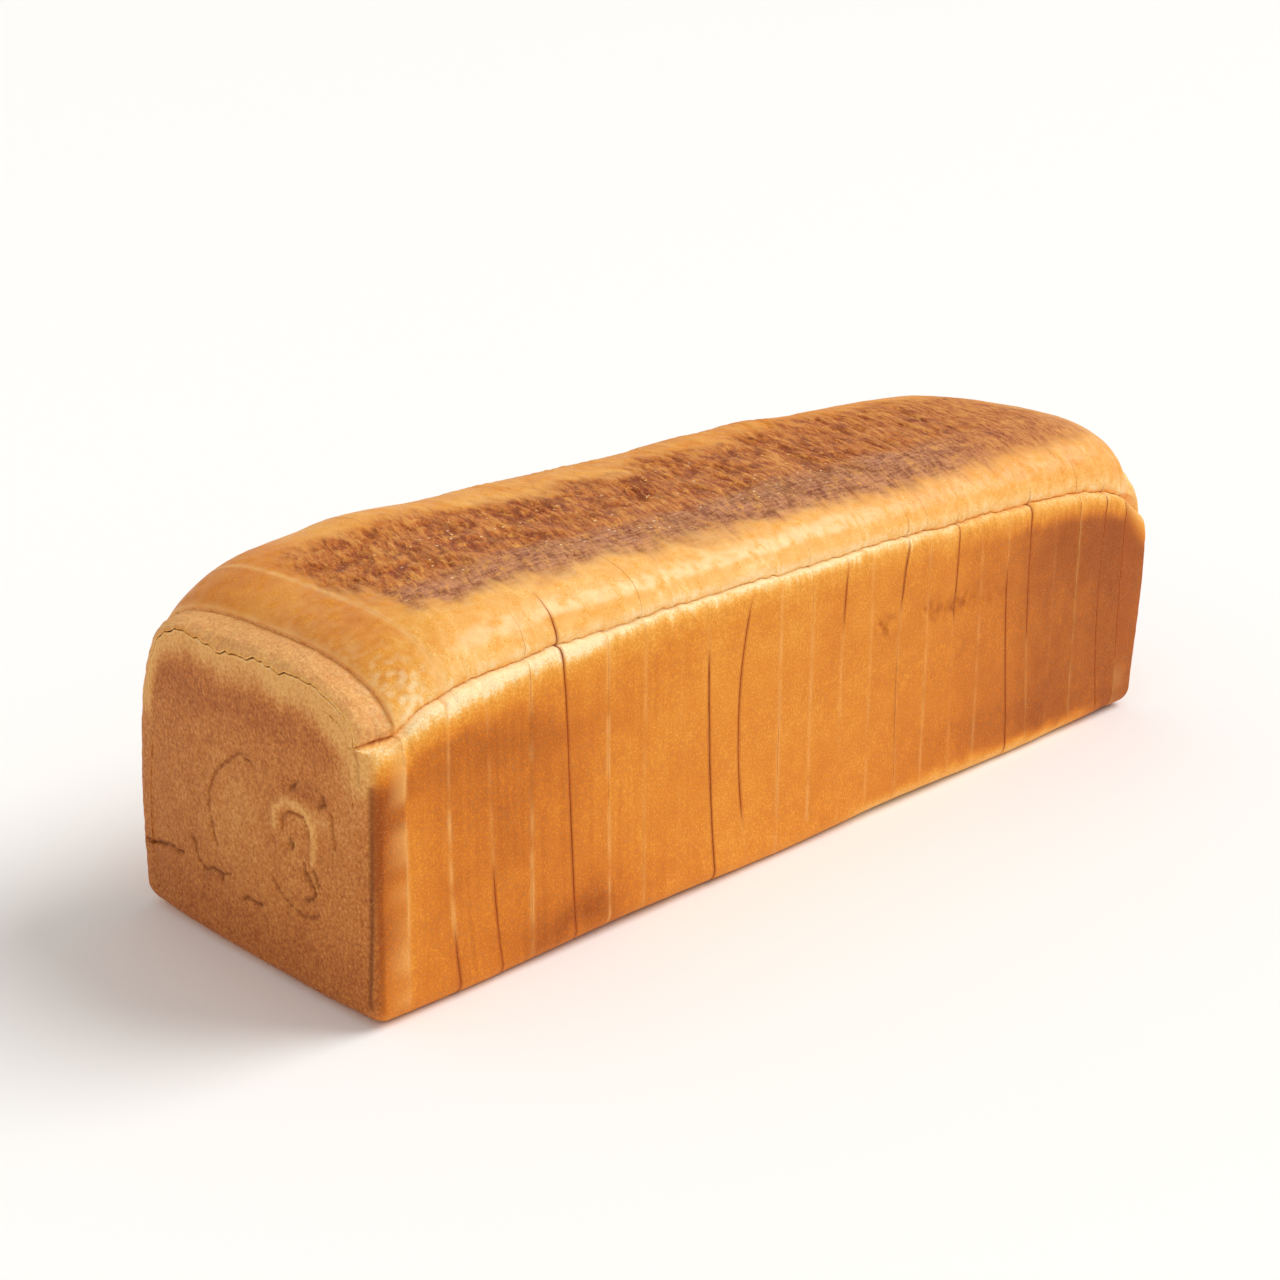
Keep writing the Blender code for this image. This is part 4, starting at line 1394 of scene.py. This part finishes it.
    # grain, wrinkles and pits stand out a few tenths of a millimetre
    height = add("ShaderNodeMath", MULTIPLY, i0=grain, i1=quieter)
    ripple = add("ShaderNodeMath", MULTIPLY, i0=fibres, i1=masks["roast"])
    height = add("ShaderNodeMath", MULTIPLY_ADD, i0=ripple, i1=2.6, i2=height)
    pitted = add("ShaderNodeMath", MULTIPLY, i0=pits, i1=masks["dull"])
    height = add("ShaderNodeMath", MULTIPLY_ADD, i0=pitted, i1=2.2, i2=height)
    bump = add("ShaderNodeBump", Strength=0.6, Distance=BUMP_DEPTH * MM, Height=height)
    # the porous crust traps light, so it reflects little; the crown's skin is a thin coat on it
    shader = add(
        "ShaderNodeBsdfPrincipled",
        Base_Color=colour,
        Roughness=add("ShaderNodeMapRange", i0=masks["gloss"], i3=0.62, i4=0.45),
        IOR=1.45,
        Specular_IOR_Level=0.25,
        Coat_Weight=add("ShaderNodeMath", MULTIPLY, i0=masks["gloss"], i1=0.8),
        Coat_Roughness=0.28,
        Coat_IOR=1.4,
        Normal=bump,
    )
    add("ShaderNodeOutputMaterial", Surface=shader)
    return material


def wheat_crumb(colours):
    """Wheat crumb: an open web of soft cells with cream walls, inside a thin brown rind."""
    material, add = new_material("wheat_crumb")
    place = add("ShaderNodeTexCoord").outputs["Object"]
    rind = add("ShaderNodeAttribute", {"attribute_name": "rind"}).outputs["Fac"]
    cells = add("ShaderNodeTexVoronoi", Vector=place, Scale=1 / (AIR_CELL * MM), Randomness=1.0)
    walls = add("ShaderNodeTexNoise", Vector=place, Scale=1 / (CELL_WALL * MM), Detail=2.0)
    depth = add("ShaderNodeMapRange", i0=cells, i1=0.1, i2=0.6, i3=0.0, i4=1.0)
    # painted shade: the hollows of the air cells are darker
    web = add("ShaderNodeValToRGB", Fac=depth)
    set_ramp(web, (0.0, colours.crumb_shade), (0.5, colours.crumb), (1.0, colours.crumb))
    colour = add("ShaderNodeMix", COLOURS, i0=rind, i6=web, i7=opaque(colours.rim))
    height = add("ShaderNodeMath", ADD, i0=depth, i1=walls)
    bump = add("ShaderNodeBump", Strength=0.8, Distance=CRUMB_DEPTH * MM, Height=height)
    shader = add("ShaderNodeBsdfPrincipled", Base_Color=colour, Roughness=0.85, IOR=1.45, Normal=bump)
    add("ShaderNodeOutputMaterial", Surface=shader)
    return material


def floor_paper(colour):
    """Matte photographic paper: no sheen, with a tooth of about a millimetre, too shallow to see."""
    material, add = new_material("floor_paper")
    tooth = add("ShaderNodeTexNoise", Scale=900.0, Detail=2.0)
    bump = add("ShaderNodeBump", Strength=0.05, Distance=0.2 * MM, Height=tooth)
    shader = add("ShaderNodeBsdfPrincipled", Base_Color=opaque(colour), Roughness=0.9, Normal=bump)
    add("ShaderNodeOutputMaterial", Surface=shader)
    return material


# The add-on


def colour_property(name, text, description):
    return FloatVectorProperty(
        name=name, description=description, subtype="COLOR", size=3, min=0.0, max=1.0, default=srgb(text)
    )


class LoafColours(bpy.types.PropertyGroup):
    """Colours of crust and crumb."""

    cream: colour_property("Cream", "#FFE4B0", "Torn crust under the crown, hardly browned")
    # this colour also paints the glints on the grain
    pale_gold: colour_property("Pale gold", "#F9C06C", "Lightest baked crust on the shoulders")
    gold: colour_property("Gold", "#F0A540", "Golden crust")
    orange: colour_property("Orange", "#E28A26", "Crust of the long walls")
    brown: colour_property("Brown", "#CE721A", "Well baked crust of the walls")
    deep_brown: colour_property("Deep brown", "#9E4A08", "Darkest crust")
    end_gold: colour_property("End gold", "#EEB064", "Top of the end faces")
    end_brown: colour_property("End brown", "#CC7C38", "Crust of the end faces")
    end_dark: colour_property("End dark", "#A45420", "Darkest crust of the end faces")
    # painted light: the raised skin of the browned band
    roast_light: colour_property("Light roasted top", "#DA8E3E", "Raised skin of the browned band")
    roast: colour_property("Roasted top", "#B85E1C", "Browned band along the crown")
    # painted shade: the sunk skin of the browned band
    roast_dark: colour_property("Dark roasted top", "#843004", "Sunk skin of the browned band")
    lilac: colour_property("Dull brown", "#CA8660", "Front edge of the browned band")
    # painted shade: the sunk skin of the band's front edge
    lilac_dark: colour_property("Dark dull brown", "#7E3A1C", "Sunk skin of that edge")
    # the rim colour also paints the golden highlight on the crown's edge at the first cuts
    rim: colour_property("Cut rim", "#F6B768", "Fuzz along the edge of a closed cut")
    # painted shade inside cracks and open cuts; this colour is also the darker torn strip on the near long
    # side
    crease: colour_property("Crease", "#AC500E", "Inside of cracks and open cuts")
    # painted shade inside the cracks and folds of the end faces
    end_crease: colour_property("End crease", "#743610", "Inside of the cracks of the end faces")
    # painted highlights along the wrinkles of the browned band
    thread_highlight: colour_property("Thread", "#E8A048", "Fine golden threads on the browned band")
    fleck: colour_property("Fleck", "#FFE0AC", "Pale flecks on the crust")
    crumb: colour_property("Crumb", "#F7E8C8", "Soft inside of the loaf")
    # painted shade inside the air cells
    crumb_shade: colour_property("Crumb shade", "#DDC295", "Inside of the air cells")


def length_property(name, millimetres, description):
    return FloatProperty(
        name=name, description=description, unit="LENGTH", min=0.0, default=millimetres * MM
    )


class LoafSizes(bpy.types.PropertyGroup):
    """How strongly the crust and the cuts stand out."""

    relief: FloatProperty(
        name="Relief", description="How strongly the crust's relief stands out", default=1.0, min=0.0, max=1.5
    )
    wrinkle_depth: length_property("Wrinkle depth", 0.75, "Depth of the wrinkles in the browned band")
    crack_depth: length_property("Crack depth", 0.8, "Depth of the cracks in the near end face")
    ledge: length_property("Ledge", 0.5, "How proud the first slice stands and how low the heel lies")
    closed_gap: length_property("Closed gap", 0.02, "Space between two slices where their cut is closed")
    slice_shift: FloatProperty(
        name="Slice shift",
        description="Share of each slice's sideways shift in the frame that shows",
        subtype="FACTOR",
        default=0.2,
        min=0.0,
        max=1.0,
    )


class LoafStage(bpy.types.PropertyGroup):
    """Floor, lights and camera."""

    floor: colour_property("Floor", "#FAF9F7", "Colour of the floor")
    key_strength: FloatProperty(
        name="Key light", description="Strength of the large soft light from the right", default=2.1, min=0.0
    )
    fill_strength: FloatProperty(
        name="Fill light", description="Strength of the light from the left", default=0.25, min=0.0
    )
    surround: FloatProperty(
        name="Surround", description="Brightness of the pale surround", default=0.56, min=0.0, max=3.0
    )
    focal_length: FloatProperty(
        name="Focal length", description="Focal length of the camera in millimetres", default=56.61, min=10.0
    )


def dressed(name, node, shape, materials):
    """Makes the piece that stands for a node of the frame."""
    points, faces, kinds, masks = shape
    data = make_mesh(name, points, faces, kinds, masks)
    for material in materials:
        data.materials.append(material)
    obj = bpy.data.objects.new(name, data)
    bpy.context.scene.collection.objects.link(obj)
    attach(obj, "root")
    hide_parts(node)
    return obj


def loaf_materials(context):
    """Crust and crumb, made once."""
    colours = context.scene.tin_loaf_colours
    crust = bpy.data.materials.get("baked_crust") or baked_crust(colours)
    crumb = bpy.data.materials.get("wheat_crumb") or wheat_crumb(colours)
    return crust, crumb


class TINLOAF_OT_slices(bpy.types.Operator):
    """Build every slice between the two heels, each dressed for its own node"""

    bl_idname = "tin_loaf.slices"
    bl_label = "Slices"

    def execute(self, context):
        materials = loaf_materials(context)
        sizes = context.scene.tin_loaf_sizes
        for number, node in enumerate(SLICES, 1):
            low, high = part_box(node)
            shift = (low[1] + high[1]) / 2 / MM
            dressed(f"crust_{node}", node, slice_mesh(number, shift, sizes), materials)
        return {"FINISHED"}


class TINLOAF_OT_near_heel(bpy.types.Operator):
    """Build the heel with the marked end face"""

    bl_idname = "tin_loaf.near_heel"
    bl_label = "Near heel"

    def execute(self, context):
        end = End(FIRST_CUT, -HALF_LENGTH, NEAR_EDGE_RADIUS, NEAR_SHOULDER_RADII, 0.0)
        shape = heel_mesh(end, 1, context.scene.tin_loaf_sizes)
        dressed("crust_heel_near", "heel_near", shape, loaf_materials(context))
        return {"FINISHED"}


class TINLOAF_OT_far_heel(bpy.types.Operator):
    """Build the heel at the far end"""

    bl_idname = "tin_loaf.far_heel"
    bl_label = "Far heel"

    def execute(self, context):
        last_cut = FIRST_CUT + SLICE_COUNT * SLICE_PITCH
        end = End(last_cut, HALF_LENGTH, FAR_EDGE_RADIUS, FAR_SHOULDER_RADII, FAR_END_TAPER)
        shape = heel_mesh(end, SLICE_COUNT + 1, context.scene.tin_loaf_sizes)
        dressed("crust_heel_far", "heel_far", shape, loaf_materials(context))
        return {"FINISHED"}


def add_light(name, direction, softness, strength):
    """A light from far away in a direction, as soft as its spread in degrees."""
    light = bpy.data.lights.new(name, "SUN")
    light.angle = math.radians(softness)
    light.energy = strength
    obj = bpy.data.objects.new(name, light)
    obj.location = Vector(direction).normalized()
    obj.rotation_mode = "QUATERNION"
    obj.rotation_quaternion = (-Vector(direction)).to_track_quat("-Z", "Y")
    bpy.context.scene.collection.objects.link(obj)
    return obj


# Directions of the lights, and their spread in degrees
KEY_DIRECTION, KEY_SPREAD = (0.62, -0.35, 0.70), 40.0
FILL_DIRECTION, FILL_SPREAD = (-0.8, -0.3, 0.5), 60.0
SURROUND_COLOUR = (1.0, 0.99, 0.97, 1.0)

# The camera and the floor, in metres and degrees
CAMERA_AIM = (-0.02579, 0.0, 0.05431)
CAMERA_DISTANCE = 0.58387
CAMERA_AZIMUTH = -44.61
CAMERA_ELEVATION = 18.33
FLOOR_SIDE = 60.0


class TINLOAF_OT_stage(bpy.types.Operator):
    """Lay the pale floor and set the soft lights and the camera"""

    bl_idname = "tin_loaf.stage"
    bl_label = "Floor, lights and camera"

    def execute(self, context):
        stage = context.scene.tin_loaf_stage
        half = FLOOR_SIDE / 2
        data = bpy.data.meshes.new("floor")
        corners = [(-half, -half, 0), (half, -half, 0), (half, half, 0), (-half, half, 0)]
        data.from_pydata(corners, [], [(0, 1, 2, 3)])
        data.materials.append(floor_paper(tuple(stage.floor)))
        floor = bpy.data.objects.new("floor", data)
        context.scene.collection.objects.link(floor)
        add_light("key_light", KEY_DIRECTION, KEY_SPREAD, stage.key_strength)
        add_light("fill_light", FILL_DIRECTION, FILL_SPREAD, stage.fill_strength)
        world = bpy.data.worlds.new("pale_surround")
        world.use_nodes = True
        background = world.node_tree.nodes["Background"]
        background.inputs["Color"].default_value = SURROUND_COLOUR
        background.inputs["Strength"].default_value = stage.surround
        context.scene.world = world
        context.scene.view_settings.view_transform = "Standard"
        camera_data = bpy.data.cameras.new("camera")
        camera_data.lens = stage.focal_length
        camera_data.sensor_width = 36.0
        camera = bpy.data.objects.new("camera", camera_data)
        azimuth, elevation = math.radians(CAMERA_AZIMUTH), math.radians(CAMERA_ELEVATION)
        level = math.cos(elevation)
        back = Vector((math.sin(azimuth) * level, -math.cos(azimuth) * level, math.sin(elevation)))
        camera.location = Vector(CAMERA_AIM) + back * CAMERA_DISTANCE
        camera.rotation_mode = "QUATERNION"
        camera.rotation_quaternion = (-back).to_track_quat("-Z", "Y")
        camera_data.clip_start = 0.01
        camera_data.clip_end = 100.0
        context.scene.collection.objects.link(camera)
        context.scene.camera = camera
        return {"FINISHED"}


class TINLOAF_PT_panel(bpy.types.Panel):
    """Lists the pieces of the loaf and their colours"""

    bl_idname = "TINLOAF_PT_panel"
    bl_label = "Tin Loaf"
    bl_space_type = "VIEW_3D"
    bl_region_type = "UI"
    bl_category = "Tin Loaf"

    def draw(self, context):
        layout = self.layout
        for operator in OPERATORS:
            layout.operator(operator.bl_idname)
        scene = context.scene
        for group in (scene.tin_loaf_sizes, scene.tin_loaf_colours, scene.tin_loaf_stage):
            box = layout.box()
            for name in group.__annotations__:
                box.prop(group, name)


OPERATORS = (TINLOAF_OT_slices, TINLOAF_OT_near_heel, TINLOAF_OT_far_heel, TINLOAF_OT_stage)
CLASSES = (LoafColours, LoafSizes, LoafStage, *OPERATORS, TINLOAF_PT_panel)


def register():
    for item in CLASSES:
        bpy.utils.register_class(item)
    bpy.types.Scene.tin_loaf_colours = PointerProperty(type=LoafColours)
    bpy.types.Scene.tin_loaf_sizes = PointerProperty(type=LoafSizes)
    bpy.types.Scene.tin_loaf_stage = PointerProperty(type=LoafStage)


def unregister():
    del bpy.types.Scene.tin_loaf_stage
    del bpy.types.Scene.tin_loaf_sizes
    del bpy.types.Scene.tin_loaf_colours
    for item in reversed(CLASSES):
        bpy.utils.unregister_class(item)


def main():
    register()
    bpy.ops.tin_loaf.slices()
    bpy.ops.tin_loaf.near_heel()
    bpy.ops.tin_loaf.far_heel()
    bpy.ops.tin_loaf.stage()
    bpy.context.view_layer.update()


if __name__ == "__main__":
    main()
